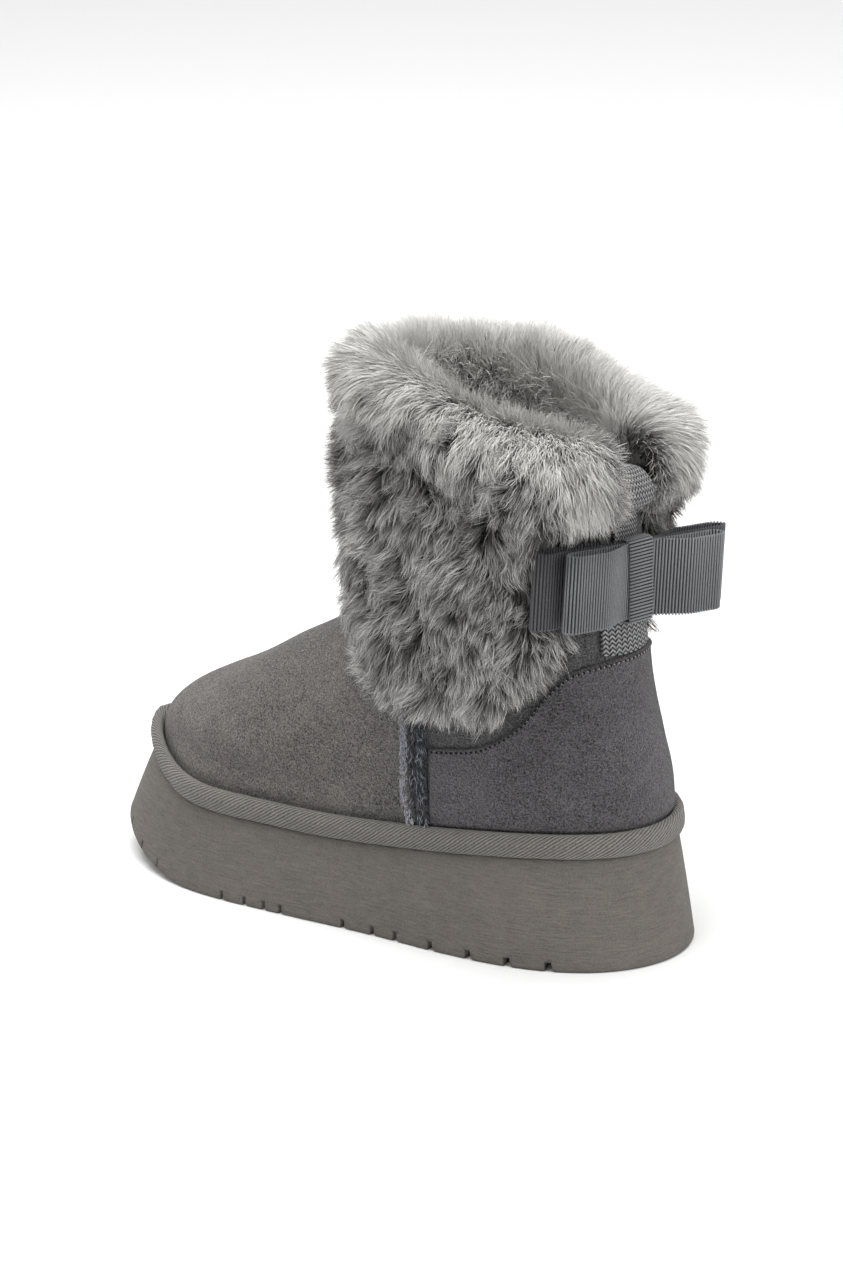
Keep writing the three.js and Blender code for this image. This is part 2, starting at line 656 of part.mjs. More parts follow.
// The pull tape: up the back of the shaft, rolled over the collar and down inside
function pullTape() {
  const high = upperFace(collarStep, 0).z;
  const loop = tapeTop.map((p) => ({
    up: p.above * pullLoopHeight,
    out: p.inside === 0 ? overlayGap + p.out * pullLoopDepth : -wall - overlayGap - tapeThickness - (p.inside - 1.6),
  }));
  const low = heelCounterHeight + 2 * clearance - high;
  const straight = Array.from({ length: 6 }, (_, i) => ({ up: mix(low, loop[0].up, i / 6), out: overlayGap }));
  const path = [...straight, ...loop].map((p) => new THREE.Vector2(p.out, p.up));
  const offset = (distance) =>
    path.map((p, i) => {
      const run = path[Math.min(i + 1, path.length - 1)].clone().sub(path[Math.max(i - 1, 0)]).normalize();
      return p.clone().add(new THREE.Vector2(run.y, -run.x).multiplyScalar(distance));
    });
  const across = 3;
  const place = (p, j) => {
    const width = mix(tapeWidth, pullLoopWidth, smooth(bowHeight - 15, bowHeight + 15, high + p.y));
    const angle = slitTurn + mix(-1, 1, j / across) * Math.asin(width / 2 / (ankleWidth * 0.52));
    const up = Math.min(p.y, 0);
    const point = upperAt(stepAtHeight(angle, upperFace(collarStep, angle).z + up), angle, p.x);
    point.z += Math.max(p.y, 0);
    return point;
  };
  const [inner, outer] = [offset(0), offset(tapeThickness)];
  const lane = (line, i) => Array.from({ length: across + 1 }, (_, j) => place(line[i], j));
  const grid = path.map((_, i) => [...lane(inner, i), ...lane(outer, i).toReversed()]);
  return facingOut(skin(grid, { closeColumns: true, cap: true }));
}

// Places a shape drawn in the bow's own frame: x along the ribbon, y away from the boot, z up. tilt
// lifts the ribbon's outer end.
function placedInBow(geometry, tilt) {
  const back = upperFace(stepAtHeight(0, bowHeight), 0);
  geometry.rotateY(-tilt).rotateZ(Math.PI / 2 - bowTurn);
  return geometry.translate(back.x - bowStandOff, back.y + tapeShift + bowShift, bowHeight);
}

// One layer of loops: two flat loops of ribbon that meet under the band. bend is the way the loops
// spread from the band, away from the boot or towards it.
function bowLoops(loopLength, bend) {
  const edge = (side, grow, stations) =>
    stations.map((s) => {
      const share = Math.abs(s) / loopLength;
      const round = Math.sqrt(Math.max(0, 1 - Math.max(0, (share - 0.88) / 0.12) ** 2));
      const swell = mix(bowPinch, 1, smooth(0.1, 0.6, share)) * round;
      const middle = bend * mix(0.9, bowSpread, smooth(0.1, 0.6, share));
      return new THREE.Vector2(s, middle + side * Math.max((bowLoopDepth / 2) * swell + grow, 0.02));
    });
  const ends = [0.12, 0.3, 0.45, 0.6, 0.88, 0.94, 0.975, 0.9999].map((share) => share * loopLength);
  const whole = [...ends.toReversed().map((s) => -s), ...ends];
  const shape = new THREE.Shape([...edge(-1, 0, whole), ...edge(1, 0, whole.toReversed())]);
  for (const way of [-1, 1]) {
    const half = ends.slice(1, 7).map((s) => way * s);
    shape.holes.push(new THREE.Path([...edge(1, -ribbonThickness, half), ...edge(-1, -ribbonThickness, half.toReversed())]));
  }
  const loops = new THREE.ExtrudeGeometry(shape, { depth: ribbonWidth, bevelEnabled: false });
  return toSolid(placedInBow(loops.translate(0, 0, -ribbonWidth / 2), bowTilt));
}

// The band that holds both layers: a flat ring round the ribbon, seen from the side
function bowBand() {
  const half = (bowLoopDepth * bowPinch) / 2 + 0.9 + 3.5 * clearance;
  const rounded = (grow) => {
    const [d, h, r] = [half + grow, ribbonWidth / 2 + 3 * clearance + grow, 0.6 + grow];
    const corners = [
      [d - r, h - r, 0],
      [-d + r, h - r, 1],
      [-d + r, -h + r, 2],
      [d - r, -h + r, 3],
    ];
    return corners.flatMap(([x, y, quarter]) =>
      [0, 1, 2].map((i) => {
        const turn = (quarter + i / 2) * (Math.PI / 2);
        return new THREE.Vector2(x + r * Math.cos(turn), y + r * Math.sin(turn));
      }),
    );
  };
  const shape = new THREE.Shape(rounded(ribbonThickness));
  shape.holes.push(new THREE.Path(rounded(0)));
  const band = new THREE.ExtrudeGeometry(shape, { depth: bowBandWidth, bevelEnabled: false });
  band.translate(0, 0, -bowBandWidth / 2);
  band.applyMatrix4(
    new THREE.Matrix4().makeBasis(new THREE.Vector3(0, 1, 0), new THREE.Vector3(0, 0, 1), new THREE.Vector3(1, 0, 0)),
  );
  return toSolid(placedInBow(band, 0));
}

const soleFoam = { color: "#736f6a", roughness: 0.8 };
const twill = { color: "#7b7770", roughness: 0.9 };
const suede = { color: "#686562", roughness: 0.95 };
const quarterSuede = { color: "#5f5d61", roughness: 0.95 };
const pile = { color: "#6a6b73", roughness: 1 };
const fur = { color: "#868583", roughness: 1 };
const webbing = { color: "#6e6f70", roughness: 0.85 };
const ribbon = { color: "#626468", roughness: 0.7 };

const pieces = [
  { name: "platform_sole", solid: platformSole(), finish: soleFoam },
  { name: "edge_binding", solid: edgeBinding(), finish: twill },
  { name: "insole", solid: insole(), finish: pile },
  { name: "upper", solid: upper(), finish: suede },
  { name: "heel_quarter", solid: heelQuarter(), finish: quarterSuede },
  { name: "side_seam_outer", solid: sideSeam(1), finish: pile },
  { name: "side_seam_inner", solid: sideSeam(-1), finish: pile },
  { name: "fur_cuff", solid: furCuff(), finish: fur },
  { name: "pull_tape", solid: pullTape(), finish: webbing },
  { name: "bow_front_loops", solid: bowLoops(frontLoopLength, 1), finish: ribbon },
  { name: "bow_back_loops", solid: bowLoops(backLoopLength, -1), finish: ribbon },
  { name: "bow_band", solid: bowBand(), finish: ribbon },
];

const boot = new THREE.Group();
for (const { name, solid, finish } of pieces) {
  const mesh = new THREE.Mesh(toGeometry(solid), new THREE.MeshStandardMaterial({ ...finish, metalness: 0 }));
  mesh.name = name;
  boot.add(mesh);
}
export default boot;
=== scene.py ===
# %% [markdown]
# A left snow boot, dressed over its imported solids: foam platform, twill binding, suede upper with a
# stitched heel quarter, deep pile cuff, webbing pull tape and a grosgrain bow.
# Sizes are millimetres in the maker's own numbers, and become metres only where a mesh is made.

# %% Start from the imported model
import math

import bmesh
import bpy
import numpy as np
from mathutils import Matrix, Vector, kdtree


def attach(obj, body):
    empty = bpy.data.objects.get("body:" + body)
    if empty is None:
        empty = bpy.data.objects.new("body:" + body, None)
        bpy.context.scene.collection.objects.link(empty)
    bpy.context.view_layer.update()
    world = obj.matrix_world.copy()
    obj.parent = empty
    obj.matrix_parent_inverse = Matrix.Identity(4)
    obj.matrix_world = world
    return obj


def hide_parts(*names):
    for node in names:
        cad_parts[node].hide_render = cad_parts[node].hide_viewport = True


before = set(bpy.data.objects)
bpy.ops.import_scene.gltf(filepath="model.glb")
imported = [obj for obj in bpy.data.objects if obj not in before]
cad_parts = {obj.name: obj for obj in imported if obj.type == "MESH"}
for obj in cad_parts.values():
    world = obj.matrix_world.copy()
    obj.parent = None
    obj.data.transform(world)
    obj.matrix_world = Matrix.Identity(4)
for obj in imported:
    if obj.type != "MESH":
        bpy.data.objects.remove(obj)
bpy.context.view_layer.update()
print("solids:", sorted(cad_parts))

# %% [markdown]
# The camera stands behind the boot's outer side and a little above it, far away with a long lens, so
# the platform's edges stay almost parallel. It aims at the point that the middle of the picture shows.

# %% Camera
MM = 0.001


def boot_camera(azimuth=34.0, height=20.3, roll=-0.018, distance=1950.0, focal=4750.0):
    turn, rise = math.radians(azimuth), math.radians(height)
    away = Vector((-math.sin(turn) * math.cos(rise), math.cos(turn) * math.cos(rise), math.sin(rise)))
    looked_at = Vector((89.0, 0.0, 60.0))
    eye = looked_at + away * distance
    right = (-away).cross(Vector((0, 0, 1))).normalized()
    up = right.cross(-away)
    right, up = (
        right * math.cos(roll) + up * math.sin(roll),
        up * math.cos(roll) - right * math.sin(roll),
    )
    aim = looked_at + (right * 27.5 + up * 120.0) * (distance / focal)
    back = (eye - aim).normalized()
    side = (right - back * right.dot(back)).normalized()
    top = back.cross(side)
    lens = bpy.data.cameras.new("boot_camera")
    lens.sensor_fit = "VERTICAL"
    lens.sensor_height = 36.0
    lens.lens = focal / 1264 * 36.0
    lens.clip_start = 0.05
    lens.clip_end = 30.0
    camera = bpy.data.objects.new("boot_camera", lens)
    turned = Matrix((side, top, back)).transposed().to_4x4()
    camera.matrix_world = Matrix.Translation(eye * MM) @ turned
    bpy.context.scene.collection.objects.link(camera)
    bpy.context.scene.camera = camera
    return camera


camera = boot_camera()
print("lens", round(camera.data.lens, 1), "mm")

# %% [markdown]
# A last is a smooth wooden foot. Every part of a boot is laid on it, so the boot's shape is one rule:
# a few sections, each with a handful of sizes, and a smooth line between them. The solids follow the
# same rule, and the dressed pieces take it again with finer steps, so they fit the solids.

# %% Sizes of the boot
sole_length, ball_width, heel_to_origin = 268.0, 99.0, 47.3
heel_height, fore_height = 46.0, 35.5
toe_spring, toe_spring_length, deck_spring = 15.0, 70.0, 17.0
toe_draw, toe_draw_start = 6.5, 0.72
side_flare, tread_bevel = 6.5, 1.4
groove_depth, groove_reach = 4.0, 24.0
binding_height, binding_depth, binding_proud = 10.0, 5.4, 2.6
wall, clearance = 3.0, 0.3
heel_counter_height, collar_back_height, collar_front_height = 124.5, 194.0, 229.0
ankle_width, shaft_front_x, shaft_back_x = 80.0, 138.3, 22.3
overlay_gap, insole_thickness = 0.55, 5.0
seam_x, quarter_seam_height, quarter_thickness = 99.0, 83.0, 1.2
welt_width, welt_height = 12.0, 2.8
fur_depth, fur_lobe_flare, fur_front_flare = 17.5, 1.75, 0.88
fur_inside, fur_gap, fur_rim_rise, fur_lobe_rise = 12.0, 1.2, 9.0, 17.0
fur_turn_in, fur_edge_height, slit_half_width = 42.0, 101.0, 14.0
tape_width, pull_loop_width, tape_shift, tape_thickness = 28.0, 18.0, 3.0, 1.2
pull_loop_depth, pull_loop_height = 6.5, 22.0
ribbon_width, ribbon_thickness = 31.0, 0.6
front_loop_length, back_loop_length, bow_loop_depth = 40.0, 49.0, 7.0
bow_spread, bow_pinch, bow_band_width = 4.6, 0.2, 12.0
bow_height, bow_shift, bow_stand_off = 156.5, 2.5, 5.6
bow_turn, bow_tilt = math.radians(18), math.radians(4.5)
heel_x = -heel_to_origin
toe_x = heel_x + sole_length
feather_inset = side_flare - binding_proud + binding_depth + clearance


def table(names, rows):
    columns = np.array(rows, float).T
    return {name: columns[i] for i, name in enumerate(names.split())}


sole_plan = table("share half shift", [
    (0.0, 0.735, 0.0), (0.075, 0.69, 0.0), (0.15, 0.638, 0.0), (0.225, 0.588, 0.002), (0.3, 0.541, 0.006),
    (0.41, 0.49, 0.01), (0.5, 0.481, 0.01), (0.63, 0.508, 0.006), (0.71, 0.545, 0.0), (0.82, 0.6, -0.012),
    (0.9, 0.614, -0.022), (1.0, 0.6, -0.032),
])
sole_side = table("rise out", [(0.04, 0.0), (0.35, 0.3), (0.7, 0.66), (1.0, 1.0)])
edge_grooves = [
    (0.13, 4.2), (0.193, 4.2), (0.258, 3.8), (0.325, 3.4), (0.39, 2.8), (0.432, 2.8), (0.486, 2.6),
    (0.6, 2.3), (0.631, 2.3), (0.667, 2.3), (0.71, 2.3), (0.856, 2.0), (0.905, 2.0), (0.954, 2.0),
]
upper_sections = table("back back_rise front front_rise heel mid fore sole", [
    (0.97, 0.0, 1.0, 0.04, 0.76, 0.46, 0.62, 1), (0.92, 0.07, 0.965, 0.09, 0.755, 0.465, 0.61, 0.95),
    (0.855, 0.13, 0.88, 0.14, 0.745, 0.47, 0.59, 0.6), (0.74, 0.19, 0.762, 0.193, 0.725, 0.475, 0.55, 0.25),
    (0.61, 0.245, 0.645, 0.242, 0.695, 0.48, 0.51, 0.06), (0.485, 0.305, 0.522, 0.284, 0.66, 0.485, 0.47, 0),
    (0.32, 0.37, 0.355, 0.345, 0.615, 0.49, 0.45, 0), (0.185, 0.44, 0.162, 0.42, 0.56, 0.495, 0.47, 0),
    (0.1, 0.51, 0.065, 0.495, 0.535, 0.5, 0.49, 0), (0.015, 0.58, 0.022, 0.575, 0.52, 0.5, 0.5, 0),
    (-0.03, 0.67, 0.0, 0.67, 0.51, 0.505, 0.505, 0), (-0.03, 0.78, 0.0, 0.78, 0.51, 0.51, 0.51, 0),
    (-0.01, 0.89, 0.0, 0.89, 0.515, 0.515, 0.515, 0), (0.0, 1.0, 0.0, 1.0, 0.52, 0.52, 0.52, 0),
])
upper_sections["step"] = np.arange(14.0)
collar_step = 13.0
quarter_edge = table("share rise", [
    (0, 1), (0.2, 0.985), (0.4, 0.9), (0.52, 0.68), (0.62, 0.43), (0.72, 0.24), (0.82, 0.1), (1, 0),
])
fur_edge = table("share rise", [
    (0.0, 0.66), (0.14, 0.54), (0.2, 0.34), (0.28, 0.165), (0.37, 0.04), (0.5, 0.0), (0.66, 0.06),
    (0.8, 0.22), (0.9, 0.34), (1.0, 0.38),
])
print("sole", sole_length, "mm long, fur", fur_depth, "mm deep")

# %% Rules of the last


def along(rows, key, column, at):
    keys, values = rows[key], rows[column]
    slope = np.empty(len(keys))
    slope[1:-1] = (values[2:] - values[:-2]) / (keys[2:] - keys[:-2])
    slope[0] = (values[1] - values[0]) / (keys[1] - keys[0])
    slope[-1] = (values[-1] - values[-2]) / (keys[-1] - keys[-2])
    i = np.clip(np.searchsorted(keys, at, side="left") - 1, 0, len(keys) - 2)
    width = keys[i + 1] - keys[i]
    u = np.clip((at - keys[i]) / width, 0, 1)
    u2, u3 = u * u, u * u * u
    return (
        values[i] * (2 * u3 - 3 * u2 + 1)
        + slope[i] * width * (u3 - 2 * u2 + u)
        + values[i + 1] * (3 * u2 - 2 * u3)
        + slope[i + 1] * width * (u3 - u2)
    )


def smooth(low, high, at):
    u = np.clip((np.asarray(at, float) - low) / (high - low), 0, 1)
    return u * u * (3 - 2 * u)


def mix(a, b, share):
    return a + (b - a) * share


def unit(v):
    return v / np.maximum(np.linalg.norm(v, axis=-1, keepdims=True), 1e-9)


def spring_at(x):
    return (np.maximum(0, x - (toe_x - toe_spring_length)) / toe_spring_length) ** 2


def underside(x):
    return toe_spring * spring_at(x)


def deck(x):
    forward = smooth(heel_x + sole_length * 0.08, heel_x + sole_length * 0.56, x)
    return mix(heel_height, fore_height, forward) + deck_spring * spring_at(x)


def sole_rim(angle, inset, level=1.0):
    def raw(a):
        share = (1 - np.cos(a)) / 2
        half = along(sole_plan, "share", "half", share) * np.sin(a)
        shift = along(sole_plan, "share", "shift", share)
        return np.stack([heel_x + share * sole_length, (half + shift) * ball_width], -1)

    tangent = unit(raw(angle + 0.004) - raw(angle - 0.004))
    inward = np.stack([tangent[..., 1], -tangent[..., 0]], -1)
    draw = toe_draw * smooth(toe_draw_start, 1.0, (1 - np.cos(angle)) / 2) * level
    return raw(angle) + inward * (np.asarray(inset) + draw)[..., None]


def upper_face(t, angle):
    t, angle = np.broadcast_arrays(np.asarray(t, float), np.asarray(angle, float))
    at = np.clip(t, 0, collar_step)
    of = {name: along(upper_sections, "step", name, at) for name in upper_sections if name != "step"}
    share = (1 - np.cos(angle)) / 2
    back_x = heel_x + mix(shaft_back_x, feather_inset - 1, of["back"])
    front_x = mix(heel_x + shaft_front_x, toe_x - toe_draw - feather_inset, of["front"])
    end = np.where(share < 0.5, of["heel"], of["fore"])
    half = mix(of["mid"], end, np.abs(1 - 2 * share) ** 1.6) * ankle_width
    x = mix(back_x, front_x, share)
    sway = along(sole_plan, "share", "shift", (x - heel_x) / sole_length) * ball_width
    free = np.stack([x, half * np.sin(angle) + sway], -1)
    plan = mix(free, sole_rim(angle, feather_inset), of["sole"][..., None])
    on_deck = deck(plan[..., 0]) + clearance + binding_height * at / 1.2
    back_z = mix(heel_height, collar_back_height, of["back_rise"])
    front_z = mix(fore_height, collar_front_height, of["front_rise"])
    z = mix(on_deck, mix(back_z, front_z, share), smooth(0, 3, at))
    return np.concatenate([plan, z[..., None]], -1)


def upper_normal(t, angle):
    at = np.clip(t, 0.02, collar_step - 0.02)
    rising = upper_face(at + 0.02, angle) - upper_face(at - 0.02, angle)
    around = upper_face(at, np.asarray(angle) + 0.01) - upper_face(at, np.asarray(angle) - 0.01)
    return unit(np.cross(rising, around))


def upper_at(t, angle, out):
    return upper_face(t, angle) + upper_normal(t, angle) * np.asarray(out, float)[..., None]


def angle_at_x(t, x):
    t, x = np.broadcast_arrays(np.asarray(t, float), np.asarray(x, float))
    low, high = np.zeros(t.shape), np.full(t.shape, math.pi)
    for _ in range(24):
        middle = (low + high) / 2
        before = upper_face(t, middle)[..., 0] < x
        low, high = np.where(before, middle, low), np.where(before, high, middle)
    return low


def step_at_height(angle, height):
    angle, height = np.broadcast_arrays(np.asarray(angle, float), np.asarray(height, float))
    low, high = np.zeros(angle.shape), np.full(angle.shape, collar_step)
    for _ in range(24):
        middle = (low + high) / 2
        below = upper_face(middle, angle)[..., 2] < height
        low, high = np.where(below, middle, low), np.where(below, high, middle)
    return low


def binding_top_step(angle):
    p = upper_face(0.5, angle)
    return step_at_height(angle, deck(p[..., 0]) + binding_height + 3 * clearance)


ankle_ring = upper_face(10.0, np.linspace(0, 2 * math.pi, 90))
print("ankle is", round(float(np.ptp(ankle_ring[:, 1])), 1), "mm wide")

# %% [markdown]
# Most pieces are skins: rows and columns of points joined by four-sided faces. A row that closes on
# itself makes a ring, and each face's corners carry their own place on the cloth in millimetres, so a
# weave runs on unbroken round the whole piece.

# %% Skins of points
ring_angles = lambda count: (np.arange(count) + 0.5) / count * 2 * math.pi


def skin(name, grid, close_rows=False, close_columns=False, caps=(), cloth=None, values=None):
    rows, columns = grid.shape[:2]
    r = np.arange(rows if close_rows else rows - 1)[:, None]
    c = np.arange(columns if close_columns else columns - 1)[None, :]
    corners = [(r, c), (r, c + 1), (r + 1, c + 1), (r + 1, c)]
    shape = (r.size, c.size)
    quads = [np.broadcast_to(a % rows * columns + b % columns, shape) for a, b in corners]
    faces = np.stack(quads, -1).reshape(-1, 4).tolist()
    if cloth is None:
        wide = np.linalg.norm(np.diff(grid, axis=1, append=grid[:, :1]), axis=-1).mean(0).cumsum()
        high = np.linalg.norm(np.diff(grid, axis=0, append=grid[:1]), axis=-1).mean(1).cumsum()
        u = np.concatenate([[0], wide])[None, :].repeat(rows + 1, 0)
        v = np.concatenate([[0], high])[:, None].repeat(columns + 1, 1)
        cloth = np.stack([u, v], -1)
    places = np.stack([np.broadcast_to(cloth[a, b], (*shape, 2)) for a, b in corners], 2)
    extra = []
    for which in caps:
        ends = [which * columns + i for i in range(columns)]
        faces.append(ends if which else ends[::-1])
        extra.append(np.broadcast_to(cloth[which, 0], (columns, 2)))
    mesh = bpy.data.meshes.new(name)
    mesh.from_pydata((grid.reshape(-1, 3) * MM).tolist(), [], faces)
    laid = mesh.uv_layers.new(name="cloth_mm")
    laid.data.foreach_set("uv", np.concatenate([places.reshape(-1, 2), *extra]).astype(np.float32).ravel())
    for key, number in (values or {}).items():
        held = mesh.attributes.new(key, "FLOAT", "POINT")
        held.data.foreach_set("value", np.asarray(number, np.float32).ravel())
    return finish_mesh(name, mesh)


def finish_mesh(name, mesh):
    build = bmesh.new()
    build.from_mesh(mesh)
    if build.calc_volume(signed=True) < 0:
        bmesh.ops.reverse_faces(build, faces=build.faces[:])
    build.to_mesh(mesh)
    build.free()
    mesh.polygons.foreach_set("use_smooth", [True] * len(mesh.polygons))
    piece = bpy.data.objects.new(name, mesh)
    bpy.context.scene.collection.objects.link(piece)
    return piece


def report(piece):
    piece.data.calc_loop_triangles()
    print(f"{piece.name}: {len(piece.data.loop_triangles)} triangles")


def settle(piece, slot, finish, *nodes):
    piece.data.materials.clear()
    piece.data.materials.append(finish)
    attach(piece, "root")
    if nodes:
        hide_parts(*nodes)
    report(piece)
    return piece


# %% [markdown]
# A finish is a small sum: take a noise, scale it, add it to another, send it to the colour or to the
# bump. A socket that knows plus and times lets it be written as one, and each sign adds a Math node.

# %% Shader sums


class Signal:
    def __init__(self, tree, socket):
        self.tree, self.socket = tree, socket

    def _with(self, other, operation, swapped=False):
        pair = (other, self) if swapped else (self, other)
        return self.tree.node("ShaderNodeMath", {"operation": operation}, {0: pair[0], 1: pair[1]})

    def __add__(self, other):
        return self._with(other, "ADD")

    def __sub__(self, other):
        return self._with(other, "SUBTRACT")

    def __rsub__(self, other):
        return self._with(other, "SUBTRACT", True)

    def __mul__(self, other):
        return self._with(other, "MULTIPLY")

    def __truediv__(self, other):
        return self._with(other, "DIVIDE")

    def __pow__(self, other):
        return self._with(other, "POWER")

    def sine(self):
        return self._with(0, "SINE")

    def absolute(self):
        return self._with(0, "ABSOLUTE")

    def fraction(self):
        return self._with(0, "FRACT")

    __radd__ = __add__
    __rmul__ = __mul__


class Nodes:
    """What shaders and Geometry Nodes share: make a node, and fill its sockets."""

    def put(self, socket, value):
        if isinstance(value, Signal):
            self.tree.links.new(value.socket, socket)
        else:
            socket.default_value = value

    def node(self, kind, settings=None, inputs=None, output=0):
        made = self.tree.nodes.new(kind)
        for key, value in (settings or {}).items():
            setattr(made, key, value)
        for key, value in (inputs or {}).items():
            self.put(made.inputs[key], value)
        return Signal(self, made.outputs[output])

    def parts(self, vector):
        return [self.node("ShaderNodeSeparateXYZ", {}, {0: vector}, i) for i in range(3)]


class Finish(Nodes):
    def __init__(self, name, roughness=0.9, specular=0.25, sheen=0.0, sheen_roughness=0.5):
        self.material = bpy.data.materials.new(name)
        self.material.use_nodes = True
        self.tree = self.material.node_tree
        self.sockets = self.tree.nodes["Principled BSDF"].inputs
        sizes = {
            "Roughness": roughness, "Specular IOR Level": specular,
            "Sheen Weight": sheen, "Sheen Roughness": sheen_roughness,
        }
        for key, value in sizes.items():
            self.sockets[key].default_value = value

    def object_place(self, scale=(1, 1, 1)):
        where = self.node("ShaderNodeTexCoord", output="Object")
        return self.node("ShaderNodeMapping", {}, {"Vector": where, "Scale": scale})

    def noise(self, place, scale, detail=2.0, roughness=0.5, distortion=0.0):
        return self.node("ShaderNodeTexNoise", {}, {
            "Vector": place, "Scale": scale, "Detail": detail, "Roughness": roughness,
            "Distortion": distortion,
        })

    def held(self, name, output="Fac"):
        return self.node("ShaderNodeAttribute", {"attribute_name": name}, output=output)

    def cloth(self, name="cloth_mm"):
        where = self.node("ShaderNodeUVMap", {"uv_map": name})
        return where, *self.parts(where)[:2]

    def between(self, low, high, value):
        sizes = {"From Min": low, "From Max": high, "Value": value}
        return self.node("ShaderNodeMapRange", {"interpolation_type": "SMOOTHSTEP"}, sizes)

    def blend(self, a, b, share):
        settings = {"data_type": "RGBA", "blend_type": "MIX"}
        return self.node("ShaderNodeMix", settings, {0: share, 6: a, 7: b}, 2)

    def scaled(self, colour, by):
        grey = self.node("ShaderNodeCombineXYZ", {}, {0: by, 1: by, 2: by})
        if not isinstance(colour, Signal):
            colour = colour[:3]
        return self.node("ShaderNodeVectorMath", {"operation": "MULTIPLY"}, {0: colour, 1: grey})

    def ramp(self, stops, value):
        shade = self.node("ShaderNodeValToRGB", {}, {0: value})
        points = shade.socket.node.color_ramp.elements
        while len(points) < len(stops):
            points.new(0.5)
        for point, (place, colour) in zip(points, stops):
            point.position = place
            point.color = colour
        return shade

    def bump(self, height, strength=1.0, distance=0.001):
        sizes = {"Height": height, "Strength": strength, "Distance": distance}
        self.put(self.sockets["Normal"], self.node("ShaderNodeBump", {}, sizes))

    def colour(self, value):
        self.put(self.sockets["Base Color"], value)


def tone(red, green, blue):
    def linear(c):
        c = c / 255
        return c / 12.92 if c <= 0.04045 else ((c + 0.055) / 1.055) ** 2.4
    return (linear(red), linear(green), linear(blue), 1.0)


print("a grey of 118 is", round(tone(118, 118, 118)[0], 3), "in light")

# %% [markdown]
# Moulded foam is matt and closed, with fine scuffs that run along the side and a faint cloud in its
# colour. The platform is lofted like the solid, then the tread's grooves are cut in with one Boolean.

# %% Foam of the platform


def foam_finish():
    f = Finish("sole_foam", roughness=0.8, specular=0.25)
    place = f.object_place()
    drawn = f.object_place((60, 60, 900))
    finer = f.object_place((160, 160, 1300))
    clouds = f.noise(place, 24, 4, 0.6)
    mottle = f.noise(place, 160, 3, 0.65)
    grain = f.noise(place, 1400, 2, 0.7)
    scuffs = f.noise(drawn, 1, 3, 0.6)
    lines = f.noise(finer, 1, 2, 0.6)
    shade = 1.0 + (clouds - 0.5) * 0.34 + (mottle - 0.5) * 0.3 + (grain - 0.5) * 0.9
    shade = shade + (scuffs - 0.5) * 0.16 + (lines - 0.5) * 0.6
    f.colour(f.scaled(tone(99, 95, 90), shade))
    f.put(f.sockets["Roughness"], 0.72 + clouds * 0.14)
    f.bump(grain * 0.5 + scuffs * 0.8 + lines * 0.8, 0.6, 0.0006)
    return f.material


foam = foam_finish()


def platform_sole():
    angle = ring_angles(300)

    def ring(inset, rise, level, lift=0.0):
        plan = sole_rim(angle, np.full(300, float(inset)), level)
        z = mix(underside(plan[:, 0]), deck(plan[:, 0]), rise) + lift
        return np.column_stack([plan, z])

    rises = np.linspace(0.04, 1.0, 22)
    outs = along(sole_side, "rise", "out", rises)
    levels = [ring(tread_bevel + 1.2, 0, 0), ring(tread_bevel * 0.45, 0.004, 0), ring(0.1, 0.02, 0)]
    for out, rise in zip(outs, rises):
        levels.append(ring(out * side_flare, rise, out, -0.5 if rise == 1.0 else 0))
    levels += [ring(side_flare + 0.6, 1.0, 1), ring(side_flare + 8, 1.0, 1)]
    return skin("foam_platform", np.array(levels), close_columns=True, caps=(0, len(levels) - 1))


def groove_cutters():
    points, faces = [], []
    for share, width in edge_grooves:
        turn = math.acos(1 - 2 * share)
        for at in (turn, 2 * math.pi - turn):
            outer, inner = sole_rim(np.array(at), -2.0, 0), sole_rim(np.array(at), groove_reach, 0)
            run = unit(inner - outer)
            side = np.array([-run[1], run[0]])
            low, top = underside(outer[0]) - 1, underside(outer[0]) + groove_depth
            base = len(points)
            for end in (outer, inner):
                for s, z in ((-0.5, low), (0.5, low), (0.5, top), (-0.15, top)):
                    p = end + side * s * width
                    points.append((p[0] * MM, p[1] * MM, z * MM))
            faces += [[base + i for i in quad] for quad in
                      ((3, 2, 1, 0), (4, 5, 6, 7), (0, 1, 5, 4), (1, 2, 6, 5), (2, 3, 7, 6), (3, 0, 4, 7))]
    mesh = bpy.data.meshes.new("groove_cutters")
    mesh.from_pydata(points, [], faces)
    return finish_mesh("groove_cutters", mesh)


def cut(piece, tool):
    change = piece.modifiers.new("grooves", "BOOLEAN")
    change.operation = "DIFFERENCE"
    change.solver = "EXACT"
    change.object = tool
    seen = piece.evaluated_get(bpy.context.evaluated_depsgraph_get())
    mesh = bpy.data.meshes.new_from_object(seen)
    piece.modifiers.clear()
    piece.data = mesh
    bpy.data.objects.remove(tool)
    return piece


platform = cut(platform_sole(), groove_cutters())
settle(platform, "sole_foam", foam, "platform_sole")

# %% [markdown]
# The binding is a bias-cut twill tape rolled over a cord and stuck round the top of the platform. Its
# twill runs slantwise, so the pattern is drawn on the tape's own millimetres.

# %% Rolled edge binding


def twill_finish():
    f = Finish("binding_twill", roughness=0.92, specular=0.2, sheen=0.15)
    where, u, v = f.cloth()
    wander = f.noise(where, 0.35, 2, 0.5)
    ridge = ((u * 0.85 + v * 0.52) * (2 * math.pi / 1.15) + wander * 2.0).sine()
    thread = (v * (2 * math.pi / 0.42)).sine()
    clouds = f.noise(f.object_place(), 40, 3, 0.6)
    grain = f.noise(f.object_place(), 1700, 2, 0.7)
    shade = 1.06 + (clouds - 0.5) * 0.3 + ridge * 0.52 + (grain - 0.5) * 1.7
    f.colour(f.scaled(tone(116, 113, 108), shade))
    f.bump(ridge * 0.7 + thread * 0.12 + grain * 0.8, 0.9, 0.0006)
    return f.material


twill = twill_finish()


